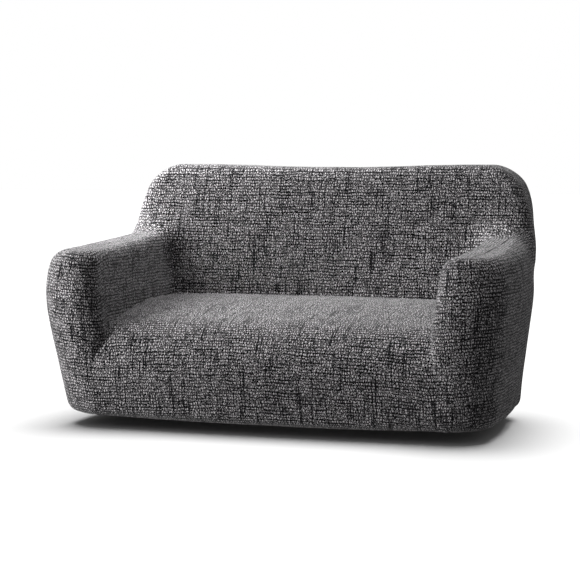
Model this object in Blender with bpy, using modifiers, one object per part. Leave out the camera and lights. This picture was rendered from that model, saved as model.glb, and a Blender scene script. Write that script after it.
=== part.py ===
"""Stretch cover for a two-seat sofa, at real size, as it hangs over the sofa it fits.

Five sewn panels of 2 mm cloth make one hollow shell that is open underneath: the seat with
its front apron, the inside back, the outside back and two arms.  The hem turns under all
round.  Metres, +Z up, front towards -Y.  The origin is the middle of the footprint, level
with the lowest edge of the hem.
"""

import bmesh
import bpy
import numpy as np

# ---------------------------------------------------------------- driving sizes (metres)
CLOTH = 0.002            # thickness of the cloth
SEAM_GAP = 0.0003        # space left between two panels along a seam
CURVED_GAP = 0.0010      # and where a seam crosses a bulging surface
HEM = 0.050              # width turned under at the bottom edge

# Outline of the whole cover, seen from above and from the side
HALF_WIDTH = 0.745       # at the bulge of the arms
BULGE_Z = 0.370          # height of that bulge
SIDE_TAPER = 0.055       # how far each side leans in from the bulge to the hem
SHOULDER_TAPER = 0.030   # how far it leans in above the bulge
SIDE_BOW = 0.038         # how much the sides bow in plan
BOW_Y = -0.168           # where they are widest
FRONT_Y = -0.4527        # front face at the arms
FRONT_TAPER = 0.083      # how far the front leans in from the bulge to the hem
FRONT_BOW = 0.016        # how far the front bows out in the middle
ARM_FRONT_LEAN = 0.034   # how far the arm fronts lean back towards their tops
REAR_Y = 0.4094          # rear face at BULGE_Z
REAR_LEAN = 0.148        # slope of the rear face
REAR_CURVE = -0.108      # and its curve
RISE = 0.367             # height over which the tapers run
HEM_LIFT = 0.008         # how much higher the hem is at the corners than in the middle

FRONT_CORNER_R = 0.115   # vertical corner between arm front and outer side
REAR_CORNER_R = 0.200    # vertical corner between outer side and rear, low down
REAR_TOP_R = 0.054       # the same edge along the top of the back
HEM_R = 0.034            # roll of the cloth into the hem

# Seat
SEAT_Z = 0.2635          # seat at its front edge
SEAT_CROWN = 0.005       # rise in the middle, across
SEAT_RISE = 0.084        # rise from front to back
SEAT_SWELL = 0.135       # extra swell halfway back
SEAT_EDGE_R = 0.140      # roll of the front edge

# Arms
ARM_Z = 0.5205           # top of the arm at its front
ARM_RISE = 0.0226        # rise towards the back
ARM_INNER_X = 0.519      # inner face at seat height
ARM_INNER_LEAN = 0.119   # how it leans outwards going up
ARM_TOP_R = 0.038
ARM_INNER_R = 0.070      # vertical corner between inner face and arm front

# Back
BACK_Z = 0.7855          # top of the back
BACK_SAG = 0.0094        # sag in the middle of the top edge
BACK_HALF = 0.683        # half width at arm height
BACK_FLARE = 0.100       # how the sides run below the top corners
BACK_SIDE_CURVE = 1.127
BACK_SIDE_CURVE3 = 1.485
BACK_Y = 0.1893          # inside back at seat height
BACK_LEAN = 0.156        # its recline
BACK_EDGE_R = 0.042
BACK_CORNER_R = 0.069    # rounded top corners

# Soft fillets in the creases
FILLET_BACK = 0.092      # where the arm tops run into the back
FILLET_INSIDE = 0.030    # upright crease between arm and inside back
FILLET_SEAT = 0.008      # creases round the seat

TOP_SEAM_INSET = 0.070   # seam on the rear face, below the top edge
NOTCH_Z = 0.205          # height where arm and seat part at the front
SIDE_SEAM_DEPTH = 0.030  # side seam, behind the inside back
SHOULDER_Z = 0.540       # top of the side seam

# Steps along each seam; panels that share a seam share its steps
N_ACROSS = 15            # half the width of the seat, and of the back
N_SEAT = 12              # seat to arm, from the back to the notch
N_TURN = 4               # the roll into the hem and the part turned under
N_APRON = 6              # from the notch down to the roll
N_ARM_FRONT = 8          # across the arm front at the hem
N_SIDE = 10              # down the side seam to the roll
N_RIDGE = 3              # from the ridge of the arm to its outer edge
N_THICK = 6              # over the thickness of the back

CLOTH_COLOUR = (0.105, 0.105, 0.108, 1.0)

# ---------------------------------------------------------------- the form under the cloth


def fillet_min(a, b, k):
    """Smaller of two signed distances, with a soft fillet of size k between them."""
    h = np.maximum(k - np.abs(a - b), 0.0) / k
    return np.minimum(a, b) - h * h * k * 0.25


def round_max(a, b, r):
    """Larger of two signed distances, with the edge between them rounded to radius r."""
    qa, qb = a + r, b + r
    return np.minimum(np.maximum(qa, qb), 0.0) + np.hypot(np.maximum(qa, 0), np.maximum(qb, 0)) - r


def soft_ramp(d, s):
    """Zero below d = 0 and d above it, with a soft knee of width s."""
    return s * np.logaddexp(0.0, d / s)


def ease(t):
    """Smooth step from 0 to 1."""
    t = np.clip(t, 0.0, 1.0)
    return t * t * (3.0 - 2.0 * t)


def side_x(y, z):
    """Half width of the cover at depth y and height z."""
    low = soft_ramp(BULGE_Z - z, 0.03) / RISE
    high = soft_ramp(z - BULGE_Z - 0.02, 0.03) / 0.15
    return HALF_WIDTH - SIDE_TAPER * low - SHOULDER_TAPER * high**2 \
        - SIDE_BOW * ((y - BOW_Y) / 0.4)**2


def front_y(x, z):
    """Depth of the front face at x and height z."""
    low = soft_ramp(BULGE_Z - z, 0.03) / RISE
    lean = soft_ramp(z - SEAT_Z - 0.03, 0.03) / 0.2
    return FRONT_Y + FRONT_TAPER * low - FRONT_BOW * (1 - (x / 0.75)**2) + ARM_FRONT_LEAN * lean**2


def rear_y(z):
    """Depth of the rear face at height z."""
    return REAR_Y + REAR_LEAN * (z - BULGE_Z) + REAR_CURVE * (z - BULGE_Z)**2


def hem_z(x):
    """Height of the bottom edge at x."""
    return HEM_LIFT * (x / 0.65)**2


def seat_z(x, y):
    """Height of the seat before its front edge is rolled."""
    t = np.clip((y - FRONT_Y) / (BACK_Y - FRONT_Y), -0.2, 1.3)
    return SEAT_Z + SEAT_CROWN * (1 - (x / ARM_INNER_X)**2) + SEAT_RISE * t + SEAT_SWELL * t * (1 - t)


def arm_top_z(y):
    """Height of the arm top at depth y."""
    t = (y - FRONT_Y) / 0.5
    return ARM_Z + ARM_RISE * t * np.abs(t)


def arm_inner_x(z):
    """Inner face of the arm at height z."""
    return ARM_INNER_X + ARM_INNER_LEAN * (z - SEAT_Z)


def back_side_x(z):
    """Side of the back at height z."""
    h = np.maximum(z - ARM_Z, -0.1)
    up = np.maximum(h, 0.0)
    return BACK_HALF + BACK_FLARE * h - BACK_SIDE_CURVE * up**2 - BACK_SIDE_CURVE3 * up**3


def back_front_y(z):
    """Inside back at height z."""
    return BACK_Y + BACK_LEAN * (z - SEAT_Z)


def back_top_z(x):
    """Top of the back at x."""
    return BACK_Z - BACK_SAG * np.where(x < 0.5, (1 - (x / 0.5)**2)**2, 0.0)


def seat_form(p):
    """Signed distance to the seat block."""
    x, y, z = np.abs(p[..., 0]), p[..., 1], p[..., 2]
    plan = round_max(x - side_x(y, z), front_y(x, z) - y, FRONT_CORNER_R)
    plan = np.maximum(plan, x - arm_inner_x(z) - 0.09)
    return round_max(plan, z - seat_z(x, y), SEAT_EDGE_R)


def arm_form(p):
    """Signed distance to an arm."""
    x, y, z = np.abs(p[..., 0]), p[..., 1], p[..., 2]
    outer = round_max(x - side_x(y, z), front_y(x, z) - y, FRONT_CORNER_R)
    inner = round_max(arm_inner_x(z) - x, front_y(x, z) - y, ARM_INNER_R)
    return round_max(np.maximum(outer, inner), z - arm_top_z(y), ARM_TOP_R)


def back_form(p):
    """Signed distance to the backrest."""
    x, y, z = np.abs(p[..., 0]), p[..., 1], p[..., 2]
    outline = round_max(x - back_side_x(z), z - back_top_z(x), BACK_CORNER_R)
    return round_max(outline, back_front_y(z) - y, BACK_EDGE_R)


def standing_form(p):
    """Signed distance to the whole form, before its bottom edge."""
    y, z = p[..., 1], p[..., 2]
    k = FILLET_INSIDE + (FILLET_BACK - FILLET_INSIDE) * ease((z - ARM_Z + 0.10) / 0.10)
    form = fillet_min(arm_form(p), back_form(p), k)
    form = fillet_min(form, seat_form(p), FILLET_SEAT)
    r = REAR_TOP_R + (REAR_CORNER_R - REAR_TOP_R) * ease((0.77 - z) / 0.35)
    return round_max(form, y - rear_y(z), r)


def cover_form(p):
    """Signed distance to the outer face of the cloth."""
    return round_max(standing_form(p), hem_z(np.abs(p[..., 0])) - p[..., 2], HEM_R)


def slope(fn, p, h=2e-4):
    """Gradient of a signed distance at the points p."""
    steps = np.eye(3) * h
    return np.stack([fn(p + s) - fn(p - s) for s in steps], axis=-1) / (2 * h)


def settle(p, conditions=(cover_form,), rounds=14, reach=0.02):
    """Move points by the shortest way until every condition is zero there."""
    p = np.array(p, dtype=float)
    for _ in range(rounds):
        f = np.stack([fn(p) for fn in conditions], axis=-1)
        j = np.stack([slope(fn, p) for fn in conditions], axis=-2)
        m = j @ np.swapaxes(j, -1, -2) + 1e-9 * np.eye(len(conditions))
        step = -(np.swapaxes(j, -1, -2) @ np.linalg.solve(m, f[..., None]))[..., 0]
        size = np.linalg.norm(step, axis=-1, keepdims=True)
        p += step * np.minimum(1.0, reach / np.maximum(size, 1e-12))
    return p


# ---------------------------------------------------------------- seams


def along(points, n, power=1.0):
    """n + 1 points evenly spaced along a path given by its corners."""
    points = np.array(points, dtype=float)
    run = np.concatenate([[0.0], np.cumsum(np.linalg.norm(np.diff(points, axis=0), axis=1))])
    at = run[-1] * np.linspace(0, 1, n + 1)**power
    return np.stack([np.interp(at, run, points[:, k]) for k in range(3)], axis=-1)


def at_x(value):
    """Condition that a point keeps its x."""
    return lambda p: p[..., 0] - value


def at_y(value):
    """Condition that a point keeps its y."""
    return lambda p: p[..., 1] - value


def at_z(value):
    """Condition that a point keeps its z."""
    return lambda p: p[..., 2] - value


def rolled_seat_z(x, y):
    """Height of the seat at x and y, near its rolled front edge too."""
    edge = np.maximum(FRONT_Y + SEAT_EDGE_R - y, 0.0)
    return seat_z(x, y) - 0.9 * edge**2 / SEAT_EDGE_R


def seat_meets_back(p):
    """Condition that a point lies in the crease between seat and inside back."""
    return seat_form(p) - back_form(p)


def seat_meets_arm(p):
    """Condition that a point lies in the crease between seat and arm."""
    return seat_form(p) - arm_form(p)


def arm_meets_back(p):
    """Condition that a point lies in the crease between arm and inside back."""
    return arm_form(p) - back_form(p)


def turned_under(top, inward, keep=None):
    """The rows of points that roll the cloth from a line round the foot into the hem.

    Args:
        top: points on the upright face, at the start of the roll.
        inward: level unit vectors from there to the inside of the cover.
        keep: a condition that holds the rows in the plane of a seam.
    """
    plane = () if keep is None else (keep,)
    base = np.stack([top[:, 0], top[:, 1], hem_z(np.abs(top[:, 0]))], axis=-1)
    rows = [settle(base, plane + (cover_form,), reach=0.01)]
    for depth in HEM_R, 0.85 * HEM, HEM:
        rows.append(settle(base + inward * depth, plane + (hem_edge(depth), on_hem)))
    return rows


def inward_at(line):
    """Level unit vectors from points on the upright face to the inside of the cover."""
    inward = -slope(standing_form, line)
    inward[:, 2] = 0.0
    return inward / np.linalg.norm(inward, axis=1, keepdims=True)


def hem_edge(depth):
    """Condition that a point lies this far inside the outline."""
    return lambda p: standing_form(p) + depth


def on_hem(p):
    """Condition that a point lies in the level of the hem."""
    return p[..., 2] - hem_z(np.abs(p[..., 0]))


def crease_corner():
    """Point where seat, arm and inside back meet."""
    z = seat_z(0.53, BACK_Y)
    guess = np.array([[arm_inner_x(z), back_front_y(z), z]])
    return settle(guess, (seat_meets_back, arm_meets_back, cover_form))[0]


def notch():
    """Point where the arm parts from the seat at the front."""
    y = front_y(ARM_INNER_X, NOTCH_Z) + 0.03
    guess = np.array([[ARM_INNER_X, y, NOTCH_Z]])
    return settle(guess, (seat_meets_arm, at_z(NOTCH_Z), cover_form), rounds=30)[0]


def back_seam():
    """Seam between seat and inside back, from the middle to the corner."""
    corner = crease_corner()
    x = np.linspace(0.0, corner[0], N_ACROSS + 1)
    z = seat_z(x, BACK_Y)
    line = settle(np.stack([x, back_front_y(z), z], axis=-1), (seat_meets_back, at_x(x), cover_form))
    line[-1] = corner
    return line


def seat_seam():
    """Seam between seat and arm, from the corner forward to the notch."""
    corner, end = crease_corner(), notch()
    y = np.linspace(corner[1], end[1], 40)
    path = np.stack([np.linspace(corner[0], end[0], 40), y, rolled_seat_z(0.5, y)], axis=-1)
    path[:, 2] += (end[2] - path[-1, 2]) * np.linspace(0, 1, 40)**6
    line = settle(along(path, N_SEAT), (seat_meets_arm, cover_form), rounds=30, reach=0.01)
    line[0], line[-1] = corner, end
    return line


def apron_seam():
    """Seam from the notch straight down the front and under the hem."""
    top = notch()
    z = np.linspace(top[2], HEM_R + 0.002, N_APRON + 1)
    x = np.full_like(z, top[0])
    guess = np.stack([x, front_y(x, z), z], axis=-1)
    line = settle(guess, (at_x(x), lambda p: p[..., 2] - z, cover_form), rounds=30)
    line[0] = top
    turn = np.concatenate(turned_under(line[-1:], np.array([[0.0, 1.0, 0.0]]), at_x(top[0])))
    return np.concatenate([line, turn])


def side_point():
    """Point on the outer side, beside the back, where three panels meet."""
    y = back_front_y(ARM_Z) + SIDE_SEAM_DEPTH
    guess = np.array([[BACK_HALF + 0.01, y, SHOULDER_Z]])
    return settle(guess, (at_y(y), at_z(SHOULDER_Z), cover_form), rounds=30)[0]


def arm_back_seam():
    """Seam between arm and inside back: up the crease, over the arm top, to its outer side."""
    start, end = crease_corner(), side_point()
    y = back_front_y(ARM_Z)
    top = arm_top_z(y) + 0.02
    over = np.array([[0.635, y - 0.01, top]])
    over = settle(over, (arm_meets_back, at_x(over[:, 0]), cover_form), rounds=30)[0]
    knee = np.array([arm_inner_x(top) - 0.01, y, top - 0.03])
    inner = along([start, knee, over], N_RIDGE + N_SIDE + N_TURN)
    inner = settle(inner, (arm_meets_back, cover_form), rounds=30, reach=0.008)
    bend = np.array([end[0] - 0.006, y + 0.012, over[2] - 0.004])
    outer = settle(along([over, bend, end], N_RIDGE), rounds=30, reach=0.008)
    line = np.concatenate([inner, outer[1:]])
    line[0], line[-1] = start, end
    return line


def shoulder_seam():
    """Seam round the back's side, from the side point level to the rear face."""
    start = side_point()
    rear = rear_y(SHOULDER_Z)
    inset = BACK_HALF - TOP_SEAM_INSET
    line = along([start, [start[0] - 0.01, rear - 0.01, SHOULDER_Z], [inset, rear, SHOULDER_Z]], N_THICK)
    line = settle(line, (at_z(SHOULDER_Z), cover_form), rounds=30, reach=0.01)
    line[0] = start
    return line


def top_seam():
    """Seam on the rear face, just below the top edge, from the middle round to its low end."""
    low = shoulder_seam()[-1]
    top = BACK_Z - TOP_SEAM_INSET
    z = np.linspace(low[2], top - 0.05, 8)
    side = np.stack([back_side_x(z) - TOP_SEAM_INSET, z], axis=-1)
    side[0] = low[0], low[2]
    corner = side[-1] + [-0.016, 0.034]
    path = [[0.0, back_top_z(0.0) - TOP_SEAM_INSET], [0.45, top], [side[-1][0] - 0.055, top], corner]
    path = np.concatenate([np.array(path), side[::-1]])
    path = np.insert(path, 1, 0.0, axis=1)
    line = across_back(path)
    line[:, 1] = rear_y(line[:, 2])
    line = settle(line, (at_x(line[:, 0]), lambda p, z=line[:, 2].copy(): p[..., 2] - z, cover_form))
    line[-1] = low
    return line


def across_back(path):
    """N_ACROSS + 1 points along an outline of the back, closer together at its corner."""
    run = np.concatenate([[0.0], np.cumsum(np.linalg.norm(np.diff(path, axis=0), axis=1))])
    share = np.array([0.00, 0.10, 0.20, 0.30, 0.39, 0.47, 0.54, 0.60, 0.645,
                      0.69, 0.735, 0.78, 0.83, 0.885, 0.94, 1.00])
    at = run[-1] * np.interp(np.linspace(0, 1, N_ACROSS + 1), np.linspace(0, 1, len(share)), share)
    return np.stack([np.interp(at, run, path[:, k]) for k in range(3)], axis=-1)


def side_seam():
    """Seam down the outer side, from the side point to the hem and under it."""
    start = side_point()
    y = start[1]
    foot = [side_x(y, HEM_R), y, HEM_R + hem_z(0.65) + 0.002]
    line = along([start, foot], N_SIDE)
    line = settle(line, (at_y(y), cover_form), rounds=20)
    line[0] = start
    turn = np.concatenate(turned_under(line[-1:], inward_at(line[-1:])))
    return np.concatenate([line, turn])


# ---------------------------------------------------------------- panels, as grids of points
# Each grid is laid between its seams and then settled on the form.


def blend_edges(grid, first, last, low, high):
    """Shift a grid of points so that its four edges fall on the given seams."""
    n, m = grid.shape[:2]
    u = np.linspace(0, 1, n)[:, None, None]
    v = np.linspace(0, 1, m)[None, :, None]
    d0, d1 = (first - grid[0])[None], (last - grid[-1])[None]
    e0, e1 = (low - grid[:, 0])[:, None], (high - grid[:, -1])[:, None]
    both = (1 - u) * ((1 - v) * d0[:, :1] + v * d0[:, -1:]) + u * ((1 - v) * d1[:, :1] + v * d1[:, -1:])
    return grid + (1 - u) * d0 + u * d1 + (1 - v) * e0 + v * e1 - both


def settle_inside(grid, reach=0.012):
    """Settle a grid on the form, leaving its edges where they are."""
    grid[1:-1, 1:-1] = settle(grid[1:-1, 1:-1], reach=reach)
    return grid


def hem_line(plan, ends):
    """Edge of the turned-under hem, through points near it seen from above."""
    plan = np.asarray(plan, dtype=float)
    guess = np.stack([plan[:, 0], plan[:, 1], hem_z(np.abs(plan[:, 0]))], axis=-1)
    line = settle(guess, (hem_edge(HEM), on_hem), rounds=25)
    line[0], line[-1] = ends
    return line


def seat_half():
    """Seat and apron: first index from the middle to the arm, second from hem to crease."""
    side = np.concatenate([apron_seam()[::-1], seat_seam()[::-1][1:]])
    n_front = N_APRON + N_TURN
    z = np.linspace(HEM_R + 0.002, side[n_front, 2], N_APRON + 1)
    face = np.stack([np.zeros_like(z), front_y(0.0, z), z], axis=-1)
    face = settle(face, (at_x(0.0), at_z(z), cover_form))
    turn = np.concatenate(turned_under(face[:1], np.array([[0.0, 1.0, 0.0]]), at_x(0.0)))[::-1]
    back = back_seam()
    y = side[n_front:, 1] + (back[0, 1] - side[-1, 1]) * np.linspace(0, 1, N_SEAT + 1)**2
    top = np.stack([np.zeros_like(y), y, rolled_seat_z(0.0, y)], axis=-1)
    top = settle(top, (at_x(0.0), cover_form), reach=0.01)
    middle = np.concatenate([turn, face, top[1:]])
    middle[:, 0] = 0.0
    middle[-1] = back[0]
    t = np.linspace(0, 1, N_ACROSS + 1)[:, None, None]
    grid = middle[None] * (1 - t) + side[None] * t
    low = hem_line(grid[:, 0, :2], (middle[0], side[0]))
    grid = blend_edges(grid, middle, side, low, back)
    return settle_inside(grid)


def inside_back_half():
    """Inside back: first index from the middle to the arm, second from crease to top seam."""
    low, high = back_seam(), top_seam()
    side_low, side_high = arm_back_seam(), shoulder_seam()
    n_face = len(side_low) - 1
    # the face, spread between its four edges as seen from the front
    top = BACK_Z
    z = np.linspace(side_low[-1, 2], top - 0.03, 8)
    rim = np.stack([back_side_x(z) - 0.012, z], axis=-1)
    rim[0] = side_low[-1, [0, 2]]
    path = [[0.0, back_top_z(0.0) - 0.004], [0.45, top - 0.004], [rim[-1, 0] - 0.045, top - 0.004]]
    path = np.concatenate([np.array(path), [[rim[-1, 0] - 0.014, top - 0.014]], rim[::-1]])
    rim = across_back(np.insert(path, 1, 0.0, axis=1))
    rim[:, 1] = back_front_y(rim[:, 2]) + 0.012
    rim[:-1] = settle(rim[:-1], reach=0.01)
    rim[-1] = side_low[-1]
    middle = along([low[0], [0.0, back_front_y(rim[0, 2] - 0.05), rim[0, 2] - 0.05], rim[0]], n_face)
    middle = settle(middle, (at_x(0.0), cover_form), reach=0.01)
    middle[0] = low[0]
    face = np.zeros((N_ACROSS + 1, n_face + 1, 3))
    face = blend_edges(face, middle, side_low, low, rim)
    face[..., 1] = np.maximum(face[..., 1], back_front_y(face[..., 2]))
    # over the top to the seam on the rear
    far = np.stack([rim[:, 0], rear_y(rim[:, 2]) - 0.012, rim[:, 2]], axis=-1)
    over = np.stack([along([a, b, c], N_THICK) for a, b, c in zip(rim, far, high)])
    over[-1] = side_high
    grid = np.concatenate([face, over[:, 1:]], axis=1)
    grid[0, :, 0] = 0.0
    grid[0, 1:-1] = settle(grid[0, 1:-1], (at_x(0.0), cover_form), reach=0.01)
    grid[:, -1] = high
    grid[:, 0] = low
    grid[-1] = np.concatenate([side_low, side_high[1:]])
    return settle_inside(grid)


def outside_back_half():
    """Outside back: first index from the middle to the side seam, second from top to hem."""
    top = np.concatenate([top_seam(), shoulder_seam()[::-1][1:]])
    side = side_seam()
    n_face = N_SIDE
    z0 = HEM_R + 0.004
    middle = np.stack([np.zeros(n_face + 1), np.zeros(n_face + 1),
                       np.linspace(top[0, 2], z0, n_face + 1)], axis=-1)
    middle[:, 1] = rear_y(middle[:, 2])
    middle = settle(middle, (at_x(0.0), at_z(middle[:, 2].copy()), cover_form))
    middle[0] = top[0]
    turn = np.concatenate(turned_under(middle[-1:], np.array([[0.0, -1.0, 0.0]]), at_x(0.0)))
    middle = np.concatenate([middle, turn])
    middle[:, 0] = 0.0
    # foot of the panel: along the rear, round the corner and forward to the side seam
    n = len(top) - 1
    foot = np.array([[0.0, middle[n_face, 1]], [0.60, middle[n_face, 1]],
                     [side[n_face, 0], 0.29], side[n_face, :2]])
    share = np.concatenate([np.linspace(0.0, 0.62, N_ACROSS + 1), np.linspace(0.62, 1.0, N_THICK + 1)[1:]])
    run = np.concatenate([[0.0], np.cumsum(np.linalg.norm(np.diff(foot, axis=0), axis=1))])
    foot = np.stack([np.interp(share * run[-1], run, foot[:, k]) for k in range(2)], axis=-1)
    low = np.stack([foot[:, 0], foot[:, 1], np.full(n + 1, z0) + hem_z(foot[:, 0])], axis=-1)
    low = settle(low, (at_z(low[:, 2].copy()), cover_form), rounds=30)
    low[0], low[-1] = middle[n_face], side[n_face]
    face = np.zeros((n + 1, n_face + 1, 3))
    face = blend_edges(face, middle[:n_face + 1], side[:n_face + 1], top, low)
    face[1:-1, 1:-1] = settle(face[1:-1, 1:-1], reach=0.02, rounds=20)
    turn = np.stack(turned_under(low, inward_at(low)), axis=1)
    grid = np.concatenate([face, turn], axis=1)
    grid[0], grid[-1] = middle, side
    grid[:, 0] = top
    return grid


def ridge_line():
    """Line along the middle of the arm top, from the inside back to the front."""
    rear = arm_back_seam()[N_RIDGE + N_SIDE + N_TURN]
    y = np.linspace(rear[1], FRONT_Y + 0.105, N_SEAT + 1)
    x = 0.5 * (arm_inner_x(arm_top_z(y)) + side_x(y, arm_top_z(y)))
    x += (rear[0] - x[0]) * np.linspace(1, 0, N_SEAT + 1)**2
    line = settle(np.stack([x, y, arm_top_z(y)], axis=-1), (at_x(x), at_y(y), cover_form))
    line[0] = rear
    return line


def arm_loop():
    """Arm: first index along its foot from crease to side seam, second from ridge to foot."""
    ridge = ridge_line()
    n_down = N_SIDE + N_TURN
    seat_foot, apron_foot = seat_seam(), apron_seam()
    over_back = arm_back_seam()
    inner_edge = over_back[:N_RIDGE + n_down + 1][::-1]
    outer_edge = np.concatenate([over_back[N_RIDGE + n_down:], side_seam()[1:]])
    # where each column starts on the ridge, and passes the top edge
    n_front = N_APRON + N_TURN + N_ARM_FRONT
    starts = np.concatenate([ridge, np.repeat(ridge[-1:], n_front, axis=0), ridge[::-1][1:]])
    top_z = arm_top_z(FRONT_Y)
    y = ridge[:, 1] + (FRONT_Y + 0.06 - ridge[-1, 1]) * np.linspace(0, 1, N_SEAT + 1)
    inner = np.stack([arm_inner_x(arm_top_z(y)) + 0.008, y, arm_top_z(y) - 0.008], axis=-1)
    outer = np.stack([side_x(y, ARM_Z) - 0.008, y, arm_top_z(y) - 0.008], axis=-1)
    corner_in = [inner[-1, 0] + 0.02, front_y(0.6, ARM_Z) + 0.015, top_z - 0.01]
    corner_out = [outer[-1, 0] - 0.045, front_y(0.7, ARM_Z) + 0.022, top_z - 0.01]
    front = along([inner[-1], corner_in, corner_out, outer[-1]], n_front)
    edge = np.concatenate([inner, front[1:], outer[::-1][1:]])
    edge = settle(edge, reach=0.01)
    # the foot of every column, from the apron seam round the front corner to the side seam
    z0 = HEM_R + 0.002
    start = apron_foot[N_APRON]
    side_foot = side_seam()[N_SIDE]
    x_corner, y_corner = side_x(FRONT_Y, 0.04), front_y(0.6, 0.04)
    first = start + [0.012 * N_TURN, 0.0, 0.0]
    front_foot = along([first, [x_corner - 0.045, y_corner + 0.012, z0],
                        [x_corner - 0.012, y_corner + 0.05, z0]], N_ARM_FRONT)
    side_run = along([front_foot[-1], [side_x(0.0, 0.04), 0.0, z0], side_foot], N_SEAT)
    level = np.concatenate([front_foot, side_run[1:]])
    level[:, 2] = z0 + hem_z(level[:, 0]) * np.linspace(0, 1, len(level))**0.5
    level = settle(level, (at_z(level[:, 2].copy()), cover_form), rounds=30)
    level[-1] = side_foot
    turn = np.stack(turned_under(level, inward_at(level)), axis=1)
    # the columns on the seat seam and down the apron seam
    n_inner = N_SEAT + N_APRON + N_TURN
    columns = []
    feet = np.concatenate([seat_foot, apron_foot[1:]])
    for k in range(N_SEAT + N_APRON + 1):
        top = along([starts[k], edge[k]], N_RIDGE)
        late = np.interp(np.arange(n_down + 1), [0, N_SIDE, n_down], [0.0, 0.90, 1.0])
        share = max(0.0, (k - N_SEAT) / N_APRON)
        t = (1 - share) * np.linspace(0, 1, n_down + 1) + share * late
        down = edge[k] + (feet[k] - edge[k]) * t[:, None]
        columns.append(np.concatenate([top, down[1:]]))
    # those beside the seam's roll into the hem, side by side at the foot
    roll = apron_foot[N_APRON:]
    for m in range(1, N_TURN + 1):
        j = N_SEAT + N_APRON + m
        away = np.array([0.012 * m, 0.0, 0.0])
        top = along([starts[j], edge[j]], N_RIDGE)
        down = along([edge[j], start + away], N_SIDE)
        t = np.linspace(0, 1, N_TURN + 1)[1:]
        under = [np.interp(m * t, np.arange(N_TURN + 1), roll[:, i]) for i in range(3)]
        under = np.stack(under, axis=-1) + away * (1 - t[:, None])
        columns.append(np.concatenate([top, down[1:], under]))
    # and the rest, across the arm front and along the outer side
    for k in range(1, len(level)):
        j = n_inner + k
        top = along([starts[j], edge[j]], N_RIDGE)
        down = along([edge[j], level[k]], N_SIDE)
        columns.append(np.concatenate([top, down[1:], turn[k]]))
    grid = np.stack(columns)
    # the six columns next to the back take up the run of its seams
    fade = np.linspace(1, 0, 6)[:, None, None]**1.5
    grid[:6] += fade * (inner_edge - grid[0])
    grid[-6:] += fade[::-1] * (outer_edge - grid[-1])
    low = np.concatenate([feet, turn[1:, -1]])
    low[-1] = outer_edge[-1]
    grid[:, 0], grid[:, -1] = starts, low
    grid[0], grid[-1] = inner_edge, outer_edge
    hem = grid[n_inner + 1:-1, N_RIDGE + N_SIDE + 1:].copy()
    grid[1:-1, 1:-1] = settle(grid[1:-1, 1:-1], reach=0.012, rounds=20)
    grid[n_inner + 1:-1, N_RIDGE + N_SIDE + 1:] = hem
    return grid


# ---------------------------------------------------------------- Blender objects


def mirrored(half):
    """Whole grid of a panel from its half at +X, whose first index starts in the middle."""
    left = half[:0:-1] * [-1.0, 1.0, 1.0]
    return np.concatenate([left, half])


def part_seams(grid, first=SEAM_GAP, last=SEAM_GAP, low=SEAM_GAP, high=SEAM_GAP):
    """Draw the four edges of a grid in by half the seam gap, at right angles to the seam.

    Args:
        grid: points as (n, m, 3).
        first, last: gaps where the first index is lowest and highest.
        low, high: gaps where the second index is.
    """
    out = grid.copy()
    for edge, inside, gap in ((np.s_[0], np.s_[1], first), (np.s_[-1], np.s_[-2], last),
                              (np.s_[:, 0], np.s_[:, 1], low), (np.s_[:, -1], np.s_[:, -2], high)):
        line = grid[edge]
        tangent = np.gradient(line, axis=0)
        tangent /= np.maximum(np.linalg.norm(tangent, axis=1, keepdims=True), 1e-9)
        inward = grid[inside] - line
        inward -= tangent * np.sum(inward * tangent, axis=1, keepdims=True)
        size = np.linalg.norm(inward, axis=1, keepdims=True)
        out[edge] += 0.5 * gap * np.where(size > 1e-6, inward / np.maximum(size, 1e-9), 0.0)
    return out


def sheet_from_grid(name, grid, material, collection, closed_ridge=False):
    """One panel of cloth, from the grid of points on its outer face.

    Args:
        name: name of the object.
        grid: points as (n, m, 3).
        material: its material.
        collection: where the object goes.
        closed_ridge: whether the first row is folded on itself and sewn shut.
    """
    n, m = grid.shape[0] - 1, grid.shape[1] - 1
    mesh = bpy.data.meshes.new(name)
    bm = bmesh.new()
    bmesh.ops.create_grid(bm, x_segments=n, y_segments=m, size=1.0)
    for vertex in bm.verts:
        i = round((vertex.co.x + 1.0) * 0.5 * n)
        j = round((vertex.co.y + 1.0) * 0.5 * m)
        vertex.co = grid[i, j]
    if closed_ridge:
        bmesh.ops.remove_doubles(bm, verts=bm.verts, dist=0.00005)
    bmesh.ops.recalc_face_normals(bm, faces=bm.faces)
    turn_outwards(bm)
    bm.to_mesh(mesh)
    bm.free()
    mesh.shade_smooth()
    obj = bpy.data.objects.new(name, mesh)
    collection.objects.link(obj)
    obj.data.materials.append(material)
    wall = obj.modifiers.new("Cloth", "SOLIDIFY")
    wall.thickness = CLOTH
    wall.offset = -1.0
    wall.use_even_offset = True
    wall.use_rim = True
    return obj


def turn_outwards(bm):
    """Flip the faces if most of them face into the form."""
    centres = np.array([face.calc_center_median() for face in bm.faces])
    normals = np.array([face.normal for face in bm.faces])
    areas = np.array([face.calc_area() for face in bm.faces])
    if np.sum(np.sum(normals * slope(cover_form, centres), axis=1) * areas) < 0:
        bmesh.ops.reverse_faces(bm, faces=bm.faces)


def cloth_material(name):
    """Dark melange cloth."""
    material = bpy.data.materials.new(name)
    material.use_nodes = True
    shader = material.node_tree.nodes["Principled BSDF"]
    shader.inputs["Base Color"].default_value = CLOTH_COLOUR
    shader.inputs["Roughness"].default_value = 0.95
    shader.inputs["Metallic"].default_value = 0.0
    return material


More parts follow.
